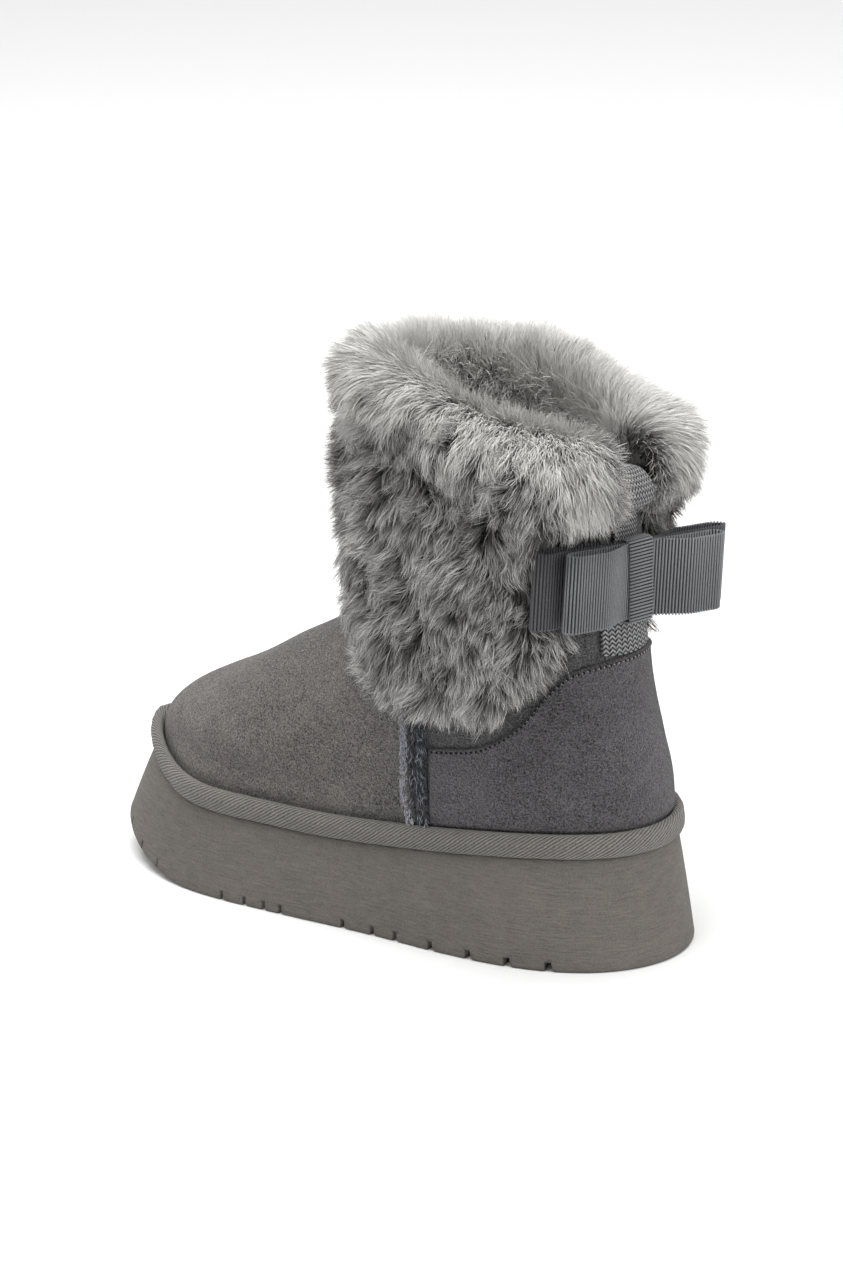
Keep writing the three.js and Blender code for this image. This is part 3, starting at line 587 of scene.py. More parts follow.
def edge_binding():
    around, turns = 420, 30
    middle = side_flare - binding_proud + binding_depth / 2
    turn = ring_angles(turns)
    inset = middle - np.sign(np.cos(turn)) * np.abs(np.cos(turn)) ** 0.7 * binding_depth / 2
    rise = binding_height * (0.5 + 0.5 * np.sign(np.sin(turn)) * np.abs(np.sin(turn)) ** 0.8)
    angle = ring_angles(around)
    ripple = 0.12 * np.sin(angle * 61 + 2 * np.sin(angle * 7)) + 0.1 * np.sin(angle * 23)
    grid = []
    for i in range(around):
        p = sole_rim(np.full(turns, angle[i]), inset - ripple[i] * (np.cos(turn) > 0))
        z = deck(p[:, 0]) + clearance + rise
        grid.append(np.column_stack([p, z]))
    return skin("rolled_binding", np.array(grid), close_rows=True, close_columns=True)


settle(edge_binding(), "binding_twill", twill, "edge_binding")

# %% [markdown]
# Suede is leather with its nap raised: no gloss, a short grain that the thumb pushes one way or the
# other, and broad clouds where it was brushed. Its noise is stretched a little along the boot.

# %% Suede


def suede_finish(name, colour, panel_colour=None):
    f = Finish(name, roughness=0.96, specular=0.1, sheen=0.2, sheen_roughness=0.45)
    place = f.object_place()
    brushed = f.object_place((0.7, 1, 1))
    clouds = f.noise(place, 20, 4, 0.6, 0.5)
    brush = f.noise(brushed, 120, 3, 0.65, 0.6)
    nap = f.noise(brushed, 700, 2, 0.6, 0.9)
    worms = f.between(0.0, 0.16, (nap - 0.5).absolute())
    fleck = f.noise(place, 1450, 2, 0.75, 0.3)
    base = colour
    if panel_colour:
        base = f.blend(colour, panel_colour, f.held("panel"))
    shade = 0.78 + (clouds - 0.5) * 0.8 + (brush - 0.5) * 0.7 + worms * 0.36 + (fleck - 0.5) * 4.2
    f.colour(f.scaled(base, shade))
    f.bump(worms * 0.5 + fleck * 1.4 + brush * 0.5, 1.0, 0.001)
    return f.material


vamp_suede = suede_finish("vamp_suede", tone(111, 107, 104), tone(88, 87, 88))
heel_suede = suede_finish("heel_suede", tone(89, 87, 89))
lip_suede = suede_finish("lip_suede", tone(112, 109, 107))

# %% [markdown]
# The upper is one shell on the last: suede outside, pile inside. Soft low swells and a slight tuck
# over the binding keep it from looking turned on a lathe.

# %% Upper


def swell(x, y, z):
    return (
        0.35 * np.sin(x / 17 + 1.3 * np.sin(z / 21)) * np.sin(z / 13 + y / 19)
        + 0.22 * np.sin(x / 7.3 + z / 9.1) * np.sin(y / 11 + 0.7)
    )


# Each crease: where it starts and ends on the outer side (x from the heel, height), how wide and how
# deep it is. A trough is negative and a ridge positive.
creases = [
    ((128, 96), (150, 72), 5.0, -0.9), ((134, 99), (158, 76), 5.0, 0.5),
    ((112, 84), (121, 62), 4.0, -0.6), ((150, 92), (178, 74), 7.0, -0.5),
    ((170, 79), (206, 69), 8.0, 0.3), ((186, 66), (226, 58), 6.0, -0.35),
]


def creased(p):
    total = np.zeros(p.shape[:-1])
    flat = np.stack([p[..., 0] - heel_x, p[..., 2]], -1)
    for start, end, width, depth in creases:
        start, end = np.array(start, float), np.array(end, float)
        run = end - start
        share = ((flat - start) @ run) / (run @ run)
        nearest_point = start + np.clip(share, 0, 1)[..., None] * run
        away = np.linalg.norm(flat - nearest_point, axis=-1)
        fade = smooth(-0.25, 0.2, share) * smooth(1.25, 0.8, share)
        total += depth * np.exp(-((away / width) ** 2)) * fade
    return total


def toe_puff(p):
    """The stuffed toe stands a little fuller than the last."""
    into = p[..., 0] - heel_x
    return 3.0 * smooth(135, 185, into) * smooth(262, 225, into) * smooth(52, 66, p[..., 2])


def upper_shell():
    angle = ring_angles(180)
    t, a = np.meshgrid(np.linspace(0, collar_step, 112), angle, indexing="ij")
    bare = upper_face(t, a)
    over = bare[..., 2] - deck(bare[..., 0]) - binding_height
    free = smooth(-1, 6, over)
    tuck = 0.45 * np.exp(-((over - 3.5) / 3.0) ** 2)
    out = (swell(bare[..., 0], bare[..., 1], bare[..., 2]) * 0.7 + tuck) * free + creased(bare) * free
    seam = angle_at_x(t[:, :1], seam_x + heel_x)
    folded = np.arccos(np.cos(a))
    panel = smooth(0.02, -0.02, folded - seam) * free
    outer = upper_at(t, a, np.minimum(out, 0.3) + toe_puff(bare) * free)
    s, b = np.meshgrid(np.linspace(collar_step, 0, 24), angle, indexing="ij")
    inner = upper_at(s, b, np.full(s.shape, -wall))
    outer[0, :, 2] = deck(outer[0, :, 0]) + clearance
    inner[-1, :, 2] = deck(inner[-1, :, 0]) + clearance
    grid = np.concatenate([outer, inner])
    panels = np.concatenate([panel, np.zeros(s.shape)])
    return skin("suede_upper", grid, close_rows=True, close_columns=True, values={"panel": panels})


settle(upper_shell(), "suede", vamp_suede, "upper")

# %% [markdown]
# The insole is a pile sock glued to the deck. It's almost hidden, but a look down the shaft finds it.

# %% Insole


def plush_finish():
    f = Finish("insole_plush", roughness=1.0, specular=0.1, sheen=0.3)
    place = f.object_place()
    curls = f.noise(place, 420, 3, 0.6, 1.2)
    clouds = f.noise(place, 60, 2)
    f.colour(f.scaled(tone(120, 119, 118), 0.55 + curls * 0.7 + clouds * 0.2))
    f.bump(curls, 0.9, 0.0016)
    return f.material


plush = plush_finish()


def insole_sock():
    inset = feather_inset + wall + clearance + 0.7
    angle = ring_angles(160)
    levels = [(0, 0), (0.45, -0.0), (0.8, 0.5), (0.97, 1.6), (1.0, 3.5), (1.0, 9.0)]
    grid = []
    for rise, tuck in levels:
        p = sole_rim(angle, np.full(160, inset + tuck))
        grid.append(np.column_stack([p, deck(p[:, 0]) + clearance + rise * insole_thickness]))
    return skin("insole_sock", np.array(grid), close_columns=True, caps=(0, len(levels) - 1))


settle(insole_sock(), "insole_plush", plush, "insole")

# %% [markdown]
# The heel quarter is cut from a firmer suede, its top edge folded and stitched down. The panel is laid
# on the upper and given a rounded thickness, with a shallow line where the stitches pull it in.

# %% Heel quarter
quarter_reach = float(angle_at_x(3.0, seam_x + heel_x - welt_width / 2 - 2 * clearance))


def quarter_top(across):
    rise = along(quarter_edge, "share", "rise", np.abs(across))
    return mix(quarter_seam_height, heel_counter_height, rise)


def quarter_place(u, v):
    across = 2 * u - 1
    low = binding_top_step(across * quarter_reach)
    high = step_at_height(across * quarter_reach, quarter_top(across))
    t = mix(low, high, v)
    limit = angle_at_x(t, seam_x + heel_x - welt_width / 2 - 2 * clearance)
    return t, across * limit


def heel_quarter():
    columns = 170
    u, v = np.meshgrid(np.linspace(0, 1, columns), np.linspace(0, 1, 46) ** 0.85, indexing="ij")
    t, angle = quarter_place(u, v)
    span = quarter_top(2 * u - 1) - deck(upper_face(0.5, angle)[..., 0]) - binding_height
    under_edge = (1 - v) * span
    fold = 0.25 * smooth(2.6, 1.2, under_edge) - 0.3 * np.exp(-((under_edge - 1.7) / 0.35) ** 2)
    edge = np.sqrt(np.clip(under_edge / 0.7, 0.0, 1.0)) * smooth(-0.004, 0.006, np.minimum(u, 1 - u))
    thick = (quarter_thickness + fold) * np.clip(edge, 0.25, 1)
    p = upper_face(t, angle)
    calm_edges = smooth(0, 6, under_edge) * smooth(0, 0.15, v)
    swelling = 0.5 * swell(p[..., 0] + 9, p[..., 1], p[..., 2]) * calm_edges
    over = upper_at(t, angle, overlay_gap + thick + swelling * 0.4)
    back = np.linspace(0, 45, 8).astype(int)
    under = upper_at(t[:, back], angle[:, back], np.full((columns, 8), overlay_gap * 0.5))
    grid = np.concatenate([under, over[:, ::-1]], 1)
    return skin("suede_heel_quarter", grid, close_columns=True, caps=(0, columns - 1))


settle(heel_quarter(), "quarter_suede", heel_suede, "heel_quarter")

# %% [markdown]
# Stitches repeat along a path, so Geometry Nodes lay them: the path is measured out by the stitch
# pitch, and one small thread is set on each point, along the path and with its back to the suede.

# %% Geometry Nodes in few words


class Rule(Nodes):
    def __init__(self, name, **sizes):
        self.tree = bpy.data.node_groups.new(name, "GeometryNodeTree")
        face = self.tree.interface
        face.new_socket("Geometry", in_out="INPUT", socket_type="NodeSocketGeometry")
        for key, value in sizes.items():
            kind = "NodeSocketMaterial" if value is None else "NodeSocketFloat"
            socket = face.new_socket(key, in_out="INPUT", socket_type=kind)
            if value is not None:
                socket.default_value = value
        face.new_socket("Geometry", in_out="OUTPUT", socket_type="NodeSocketGeometry")
        self.start = self.tree.nodes.new("NodeGroupInput")
        self.end = self.tree.nodes.new("NodeGroupOutput")

    def given(self, name):
        return Signal(self, self.start.outputs[name])

    def named(self, name, kind="FLOAT_VECTOR"):
        return self.node("GeometryNodeInputNamedAttribute", {"data_type": kind}, {"Name": name})

    def store(self, geometry, name, value, kind="FLOAT", domain="POINT"):
        return self.node("GeometryNodeStoreNamedAttribute", {"data_type": kind, "domain": domain},
                         {"Geometry": geometry, "Name": name, "Value": value})

    def joined(self, x, y, z):
        return self.node("ShaderNodeCombineXYZ", {}, {0: x, 1: y, 2: z})

    def measured_path(self):
        curve = self.node("GeometryNodeMeshToCurve", {}, {0: self.given("Geometry")})
        return self.node("GeometryNodeResampleCurve", {"mode": "LENGTH"},
                         {0: curve, "Length": self.given("Pitch")})

    def facing(self, upwards, axis, toward):
        """A turn that takes Z to one direction and a second axis as near as it can to another."""
        turn = self.node("FunctionNodeAlignRotationToVector", {"axis": "Z"}, {"Vector": upwards})
        return self.node("FunctionNodeAlignRotationToVector", {"axis": axis, "pivot_axis": "Z"},
                         {"Rotation": turn, "Vector": toward})

    def laid(self, points, thing, turn, size):
        return self.node("GeometryNodeInstanceOnPoints", {}, {
            "Points": points, "Instance": thing, "Rotation": turn, "Scale": size})

    def close(self, geometry, material):
        real = self.node("GeometryNodeRealizeInstances", {}, {0: geometry})
        painted = self.node("GeometryNodeSetMaterial", {}, {0: real, "Material": material})
        self.put(self.end.inputs[0], painted)

    def apply(self, name, guide, **sizes):
        change = guide.modifiers.new(name, "NODES")
        change.node_group = self.tree
        for item in self.tree.interface.items_tree:
            if item.in_out == "INPUT" and item.name in sizes:
                change[item.identifier] = sizes[item.name]
        seen = guide.evaluated_get(bpy.context.evaluated_depsgraph_get())
        mesh = bpy.data.meshes.new_from_object(seen)
        bpy.data.objects.remove(guide)
        piece = bpy.data.objects.new(name, mesh)
        bpy.context.scene.collection.objects.link(piece)
        mesh.polygons.foreach_set("use_smooth", [True] * len(mesh.polygons))
        return piece


def guide_line(name, points, closed=False, **vectors):
    count = len(points)
    edges = [(i, i + 1) for i in range(count - 1)] + ([(count - 1, 0)] if closed else [])
    mesh = bpy.data.meshes.new(name)
    mesh.from_pydata((np.asarray(points) * MM).tolist(), edges, [])
    for key, value in vectors.items():
        held = mesh.attributes.new(key, "FLOAT_VECTOR", "POINT")
        held.data.foreach_set("vector", np.asarray(value, np.float32).ravel())
    guide = bpy.data.objects.new(name, mesh)
    bpy.context.scene.collection.objects.link(guide)
    return guide


def stitch_rule():
    rule = Rule("stitch_rule", Pitch=0.002, Length=0.0015, Thickness=0.0005, Thread=None)
    turn = rule.facing(rule.node("GeometryNodeInputTangent"), "X", rule.named("out"))
    ball = rule.node("GeometryNodeMeshUVSphere", {}, {"Segments": 6, "Rings": 5, "Radius": 0.5})
    size = rule.joined(rule.given("Thickness"), rule.given("Thickness"), rule.given("Length"))
    rule.close(rule.laid(rule.measured_path(), ball, turn, size), rule.given("Thread"))
    return rule


def thread_finish(name, colour):
    f = Finish(name, roughness=0.8, specular=0.2)
    f.colour(f.scaled(colour, 0.8 + f.noise(f.object_place(), 900) * 0.5))
    f.bump(f.noise(f.object_place(), 2500), 0.4, 0.0002)
    return f.material


stitches_along = stitch_rule()
stitch_pitch = 0.0023
thread = thread_finish("grey_thread", tone(150, 148, 146))
# Needle holes are dark dots of painted shade, set between the grey stitches.
painted_hole_shade = thread_finish("painted_hole_shade", tone(26, 26, 28))


def quarter_stitches(name, start, length, thickness, lift, finish):
    u = np.linspace(0.004 + start, 0.996, 500)
    across = 2 * u - 1
    t, angle = quarter_place(u, np.ones(500))
    high = upper_face(t, angle)[:, 2] - 1.7
    t = step_at_height(angle, high)
    points = upper_at(t, angle, np.full(500, overlay_gap + quarter_thickness + lift))
    guide = guide_line(name + "_path", points, out=upper_normal(t, angle))
    sizes = {"Pitch": stitch_pitch, "Length": length, "Thickness": thickness}
    piece = stitches_along.apply(name, guide, **sizes, Thread=finish)
    return settle(piece, "quarter_suede", finish)


quarter_stitches("quarter_stitches", 0.0, 0.0013, 0.0008, 0.1, thread)
# These dots are painted shade for the needle holes.
quarter_stitches("quarter_hole_shade_dots", 0.0052, 0.0012, 0.0012, 0.12, painted_hole_shade)

# %% [markdown]
# The side seam joins the shearling panels edge to edge. In front stands a folded suede lip, and behind
# it the pile of the lining bristles out. The lip is a laid strip; the bristles come later with the fur.

# %% Side seams
seam_middle = float(angle_at_x(4.0, seam_x + heel_x))


def fur_low(angle):
    rise = along(fur_edge, "share", "rise", np.arccos(np.cos(angle)) / math.pi)
    return mix(fur_edge_height, collar_back_height, rise)


def seam_place(side, u, v):
    bottom = float(binding_top_step(side * seam_middle))
    top = float(step_at_height(side * seam_middle, fur_low(seam_middle) - 2))
    t = mix(bottom, top, u)
    return t, side * angle_at_x(t, seam_x + heel_x + (v - 0.5) * welt_width)


def seam_strip(side, name, start, stop, height, low):
    columns, rows = 90, 22
    u, w = np.meshgrid(np.linspace(0, 1, columns), np.linspace(0, 1, rows), indexing="ij")
    v = mix(start, stop, w) + 0.02 * np.sin(u * 19) + 0.012 * np.sin(u * 53) - 0.22 * smooth(0.22, 0.0, u)
    t, angle = seam_place(side, u, v)
    crown = low + (height - low) * np.sin(math.pi * w) ** 0.5
    crown = crown * (1 + 0.07 * np.sin(u * 57 + side) + 0.05 * np.sin(u * 131))
    over = upper_at(t, angle, overlay_gap + crown)
    under = upper_at(t, angle, np.full(t.shape, overlay_gap * 0.5))
    grid = np.concatenate([under, over[:, ::-1]], 1)
    return skin(name, grid, close_columns=True, caps=(0, columns - 1))


for side, word in ((1, "outer"), (-1, "inner")):
    lip = seam_strip(side, f"seam_lip_{word}", 0.66, 1.0, welt_height, 0.5)
    settle(lip, "suede", lip_suede)
    bed = seam_strip(side, f"seam_bed_{word}", 0.05, 0.7, welt_height * 0.4, 0.3)
    settle(bed, "seam_pile", heel_suede, f"side_seam_{word}")

# %% [markdown]
# The cuff is a sheet of deep pile folded over the collar. Under the hairs lies their knitted ground, a
# hooked section swept round the collar from one side of the slit to the other. Its dark colour is
# painted shade of the deep pile, and it is lighter on the rim as painted light. Hairs grow out of
# it, so it lies one pile's height below the fur's outline.

# %% Ground of the fur
slit_angle = math.asin(slit_half_width / (ankle_width * 0.52))
slit_turn = math.asin(tape_shift / (ankle_width * 0.52))


def fur_deep(angle, share):
    from_back = np.arccos(np.cos(angle - slit_turn))
    beside = mix(0.5, 1, smooth(slit_angle, slit_angle + 0.5, from_back))
    beside = beside * mix(1, 0.85, smooth(1.9, 2.9, from_back))
    flare = mix(fur_lobe_flare, fur_front_flare, smooth(0.5, 1.9, from_back))
    return fur_depth * beside * mix(1, flare, smooth(0.45, 0.92, share))


def turned(a, b, angle):
    return a * math.cos(angle) - b * math.sin(angle), a * math.sin(angle) + b * math.cos(angle)


def in_bow(p, tilt=None):
    q = p - bow_place
    x, y = turned(q[..., 0], q[..., 1], bow_turn - math.pi / 2)
    x, z = turned(x, q[..., 2], -bow_tilt if tilt is None else -tilt)
    return np.stack([x, y, z], -1)


def from_bow(q, tilt=None):
    x, z = turned(q[..., 0], q[..., 2], bow_tilt if tilt is None else tilt)
    x, y = turned(x, q[..., 1], math.pi / 2 - bow_turn)
    return np.stack([x, y, z], -1) + bow_place


bow_back = upper_face(step_at_height(0.0, bow_height), 0.0)
bow_place = np.array([bow_back[0] - bow_stand_off, bow_back[1] + tape_shift + bow_shift, bow_height])
bow_rear = -(bow_spread + bow_loop_depth / 2 + 1)


def behind_bow(p, deeper, soft=9.0):
    q = in_bow(p)
    half = np.array([back_loop_length + 2.0, ribbon_width / 2 + 1.5])
    inside_x = smooth(half[0] + soft, half[0], np.abs(q[..., 0]))
    inside_z = smooth(half[1] + soft, half[1], np.abs(q[..., 2]))
    pressed = np.minimum(q[..., 1], bow_rear - deeper)
    q[..., 1] = mix(q[..., 1], pressed, inside_x * inside_z)
    return from_bow(q)


fur_outside = [(-0.01, 0.35), (0.06, 0.78), (0.22, 0.97), (0.46, 0.98), (0.7, 1.0), (0.92, 1.0)]
fur_rim = [(0.45, 0.95, 0.0), (0.95, 0.72, 0.25), (1.2, 0.25, 0.5), (1.22, -0.25, 0.75), (0.65, -0.85, 1.0)]
fur_inner = [(0.3, 1.0), (0.75, 0.92), (1.0, 0.5)]
pile_height = 8.0


def root_line(angles):
    """The hairs hang below their lowest roots, so the knitted ground ends above the fur's edge."""
    share = np.arccos(np.cos(angles)) / math.pi
    return fur_low(angles) + 3 + 12 * smooth(0.5, 0.74, share) + 11 * smooth(0.38, 0.26, share)


def fur_sections(angles, pile):
    high = upper_face(collar_step, angles)[..., 2]
    low = root_line(angles)
    depth = fur_deep(angles, 1.0)
    rise = mix(fur_lobe_rise, fur_rim_rise, smooth(1.7, 2.8, np.arccos(np.cos(angles - slit_turn))))
    lining = -wall - fur_gap
    outer, under = [], []

    def held(share, out):
        return upper_at(step_at_height(angles, mix(low, high, share)), angles, out)

    for share, out in fur_outside:
        full = out * fur_deep(angles, share)
        outer.append(held(share, np.maximum(full - pile * min(1, out), 1.9)))
        under.append(held(max(share, 0), np.full(angles.shape, fur_gap)))
    for above, out, across in fur_rim:
        outside = np.maximum(out * depth - pile * out, 1.9)
        side = outside if out > 0 else lining + out * (fur_inside - pile * 0.7)
        p = upper_at(collar_step, angles, side)
        p[..., 2] += np.maximum(above * rise - pile * above * 0.75, fur_gap + 0.5)
        outer.append(p)
        q = upper_at(collar_step, angles, np.full(angles.shape, mix(fur_gap, lining, across)))
        q[..., 2] += fur_gap
        under.append(q)
    for below, inside in fur_inner:
        t = step_at_height(angles, high - below * fur_turn_in)
        depth_in = lining - inside * (fur_inside - pile * 0.75)
        outer.append(upper_at(t, angles, np.full(angles.shape, depth_in)))
        under.append(upper_at(t, angles, np.full(angles.shape, lining)))
    return np.array(outer), np.array(under)


def through(points, count):
    """A smooth line through rows of points, measured out evenly."""
    last = len(points) - 1
    fine = np.linspace(0, last, last * 12 + 1)
    i = np.minimum(fine.astype(int), last - 1)
    u = (fine - i).reshape(-1, *[1] * (points.ndim - 1))
    a, b = points[np.maximum(i - 1, 0)], points[i]
    c, d = points[i + 1], points[np.minimum(i + 2, last)]
    line = 0.5 * (2 * b + (c - a) * u + (2 * a - 5 * b + 4 * c - d) * u**2 + (3 * b - a - 3 * c + d) * u**3)
    gone = np.linalg.norm(np.diff(line, axis=0), axis=-1).mean(-1)
    length = np.concatenate([[0], gone.cumsum()])
    at = np.interp(np.linspace(0, length[-1], count), length, np.arange(len(line)))
    k = np.minimum(at.astype(int), len(line) - 2)
    part = (at - k).reshape(-1, *[1] * (points.ndim - 1))
    return line[k] * (1 - part) + line[k + 1] * part


ground_columns, ground_rows = 130, 46
ground_angles = slit_turn + np.linspace(slit_angle, 2 * math.pi - slit_angle, ground_columns)
outer_rows, under_rows = fur_sections(ground_angles, pile_height)
ground = behind_bow(through(outer_rows, ground_rows), 3.0)
ground_under = through(under_rows, ground_rows)


def ground_finish():
    f = Finish("fur_ground", roughness=1.0, specular=0.05)
    place = f.object_place()
    hairs = f.noise(f.object_place((1, 1, 0.25)), 1500, 2, 0.6)
    # Painted shade and light: the ground is dark where it shows deep in the pile, lighter on the rim as
    # painted light.
    base = f.blend(tone(50, 50, 50), tone(120, 119, 117), f.held("rim"))
    f.colour(f.scaled(base, 0.5 + hairs * 0.8 + f.noise(place, 90) * 0.2))
    f.bump(hairs, 0.8, 0.0012)
    return f.material


fur_floor = ground_finish()


def fur_ground():
    grid = np.concatenate([ground, ground_under[::-1]])
    share = np.linspace(0, 1, ground_rows)
    rim = np.concatenate([smooth(0.46, 0.6, share), np.zeros(ground_rows)])
    rims = np.tile(rim, (ground_columns, 1))
    grid = np.swapaxes(grid, 0, 1)
    return skin("fur_ground", grid, close_columns=True, caps=(0, ground_columns - 1), values={"rim": rims})


settle(fur_ground(), "fur", fur_floor, "fur_cuff")

# %% [markdown]
# Pile is tens of thousands of hairs that lean together in tufts. Each hair here is one flat tapered
# blade, bent outwards. Its root, its lean and its tint are worked out first, then Geometry Nodes set a
# blade on every root. Tips in a tuft are drawn towards one another, which opens dark partings.

# %% Hair roots and their lean
fur_random = np.random.default_rng(7)


def hair_roots(count):
    g = ground
    d_row = np.gradient(g, axis=0)
    d_col = np.gradient(g, axis=1)
    area = np.linalg.norm(np.cross(d_row, d_col), axis=-1)
    thick = np.linspace(0, 1, ground_rows)[:, None]
    denser_rim = 1 + 0.9 * np.exp(-(((thick - 0.62) / 0.1) ** 2))
    wanted = area * mix(1.0, 0.7, smooth(0.76, 0.92, thick)) * denser_rim
    cells = wanted[:-1, :-1].ravel()
    picked = fur_random.choice(cells.size, count, p=cells / cells.sum())
    row, col = np.divmod(picked, ground_columns - 1)
    r = row + fur_random.random(count)
    c = col + fur_random.random(count)

    def at(values):
        i, j = r.astype(int), c.astype(int)
        i, j = np.minimum(i, ground_rows - 2), np.minimum(j, ground_columns - 2)
        u, v = (r - i)[:, None], (c - j)[:, None]
        return (
            values[i, j] * (1 - u) * (1 - v) + values[i + 1, j] * u * (1 - v)
            + values[i, j + 1] * (1 - u) * v + values[i + 1, j + 1] * u * v
        )

    root, rising, round_way = at(g), unit(at(d_row)), unit(at(d_col))
    normal = unit(np.cross(round_way, rising))
    outward = root - at(ground_under)
    normal *= np.sign((normal * outward).sum(-1, keepdims=True))
    return root, rising, round_way, normal, r / (ground_rows - 1), c / (ground_columns - 1)


def nearest(points, centres):
    tree = kdtree.KDTree(len(centres))
    for i, p in enumerate(centres):
        tree.insert(p, i)
    tree.balance()
    return np.array([tree.find(p)[1] for p in points])


def tuft_mean(values, tuft, count):
    total = np.stack([np.bincount(tuft, values[:, k], count) for k in range(3)], -1)
    return total / np.maximum(np.bincount(tuft, minlength=count), 1)[:, None]


hair_count = 148000
broad_tufts, fine_tufts = 420, 6500
root, rising, round_way, normal, section, around = hair_roots(hair_count)
hair_angle = slit_turn + mix(slit_angle, 2 * math.pi - slit_angle, around)
pick = lambda count: root[fur_random.choice(hair_count, count, replace=False)]
broad, fine = nearest(root, pick(broad_tufts)), nearest(root, pick(fine_tufts))
print(hair_count, "hairs in", fine_tufts, "tufts")

# %% Lean, length and tint
inside_share = smooth(0.86, 0.98, section)
turned_over = smooth(0.64, 0.84, section + 0.03 * fur_random.normal(size=hair_count))
low_share = smooth(0.24, 0.08, section)
round_turn = np.arccos(np.cos(hair_angle - slit_turn))
at_front = smooth(1.6, 2.3, round_turn)
rim_from = mix(0.37, 0.53, smooth(0.35, 1.0, round_turn)) - 0.1 * at_front
ragged = section + 0.03 * fur_random.normal(size=broad_tufts)[broad]
rim_share = smooth(rim_from, rim_from + 0.09 + 0.12 * at_front, ragged) * (1 - inside_share)
under_roll = np.exp(-(((ragged - rim_from + 0.05) / 0.075) ** 2)) * smooth(0.3, 0.7, round_turn)
under_roll *= 1 - 0.6 * at_front
slit_edge = smooth(0.06, 0.0, around) - smooth(0.94, 1.0, around)
combed = mix(mix(0.8, 1.0, rim_share) - 0.3 * under_roll, -0.25, turned_over)
comb = -rising * mix(combed, 0.4, inside_share)[:, None]
stand = mix(mix(mix(0.74, 0.4, rim_share), 0.85, turned_over), 0.6, inside_share)[:, None]
toward_slit = -round_way * slit_edge[:, None] * 0.12
calm = mix(1.0 + 0.2 * under_roll, 0.3, np.maximum(rim_share, inside_share))[:, None]
broad_lean = unit(fur_random.normal(size=(broad_tufts, 3)))[broad] * 0.6 * calm
fine_lean = unit(fur_random.normal(size=(fine_tufts, 3)))[fine] * 0.46 * calm
own_lean = unit(fur_random.normal(size=(hair_count, 3))) * 0.26
lean = unit(normal * stand + comb + toward_slit + broad_lean + fine_lean + own_lean)
under_coat = fur_random.random(hair_count) < 0.3
length = mix(14.0, 15.5, rim_share) * (0.82 + 0.3 * fur_random.random(hair_count))
tuft_length = 0.85 + 0.3 * fur_random.random(broad_tufts)[broad]
length *= (1.0 - 0.12 * under_roll - 0.25 * turned_over) * tuft_length
length *= np.where(under_coat, 0.66, np.where(fur_random.random(hair_count) < 0.05, 1.22, 1.0))
tip = root + lean * length[:, None]
tip = mix(tip, tuft_mean(tip, fine, fine_tufts)[fine], mix(0.34, 0.16, rim_share)[:, None])
tip = mix(tip, tuft_mean(tip, broad, broad_tufts)[broad], mix(0.16, 0.02, rim_share)[:, None])


def clear_of_loop(tip):
    """Tips that would hang over the finger loop are laid beside it."""
    turn = (math.cos(slit_turn), math.sin(slit_turn))
    across = tip[:, 1] * turn[0] + (tip[:, 0] - heel_x - shaft_back_x) * turn[1] - tape_shift
    wanted = 9.0 + 2.0 * fur_random.random(len(tip))
    hit = (np.abs(across) < wanted) & (tip[:, 0] < 12) & (tip[:, 2] > bow_height)
    tip[hit, 1] += (np.sign(across) * wanted - across)[hit]
    return tip


def clear_of_bow(root, tip):
    q, r = in_bow(tip), in_bow(root)
    near = (np.abs(q[:, 0]) < back_loop_length + 3) & (np.abs(q[:, 2]) < ribbon_width / 2 + 2.5)
    front = bow_spread + bow_loop_depth / 2 + 1
    hit = near & (q[:, 1] > bow_rear - 0.6) & (r[:, 1] < front)
    q[hit, 1] = bow_rear - 0.6 - 1.5 * fur_random.random(hit.sum())
    return from_bow(q), hit


tip, pressed = clear_of_bow(root, clear_of_loop(tip))
reach = tip - root
# Tint is the hairs' own colour, varying at random by hair and tuft, a little darker in the short under coat
# and a little lighter at the low edge. It also holds painted light and shade: lighter on the rim (partly its
# combed tips, partly painted light), with painted shade under the roll, down inside the shaft and beside the
# slit.
tint = 0.36 + mix(0.17, 0.07, rim_share) * fur_random.normal(size=hair_count)
tint += 0.045 * fur_random.normal(size=fine_tufts)[fine] - 0.1 * under_coat
tint += mix(0.07, 0.02, rim_share) * fur_random.normal(size=broad_tufts)[broad]
tint += 0.2 * rim_share + 0.04 * low_share - 0.09 * under_roll - 0.12 * smooth(0.88, 1.0, section)
tint = np.clip(tint - 0.16 * smooth(0.5, 1.0, np.abs(slit_edge)), 0.02, 0.98)
# Roots start further up the colour ramp on the rim, along the crest of the fold and inside, partly for
# combed tips and partly as painted light; under the roll they start a little darker, as painted shade.
crest = np.exp(-(((section - 0.72) / 0.08) ** 2))
root_tone_and_painted_light = 0.05 + 0.4 * rim_share + 0.12 * inside_share - 0.04 * under_roll + 0.32 * crest
arch = np.where(pressed, 0.03, 0.14)
girth = 0.46 * (0.7 + 0.5 * fur_random.random(hair_count)) * 1.0
print("hairs reach", round(float(np.linalg.norm(reach, axis=1).mean()), 1), "mm on average")

# %% The blade rule


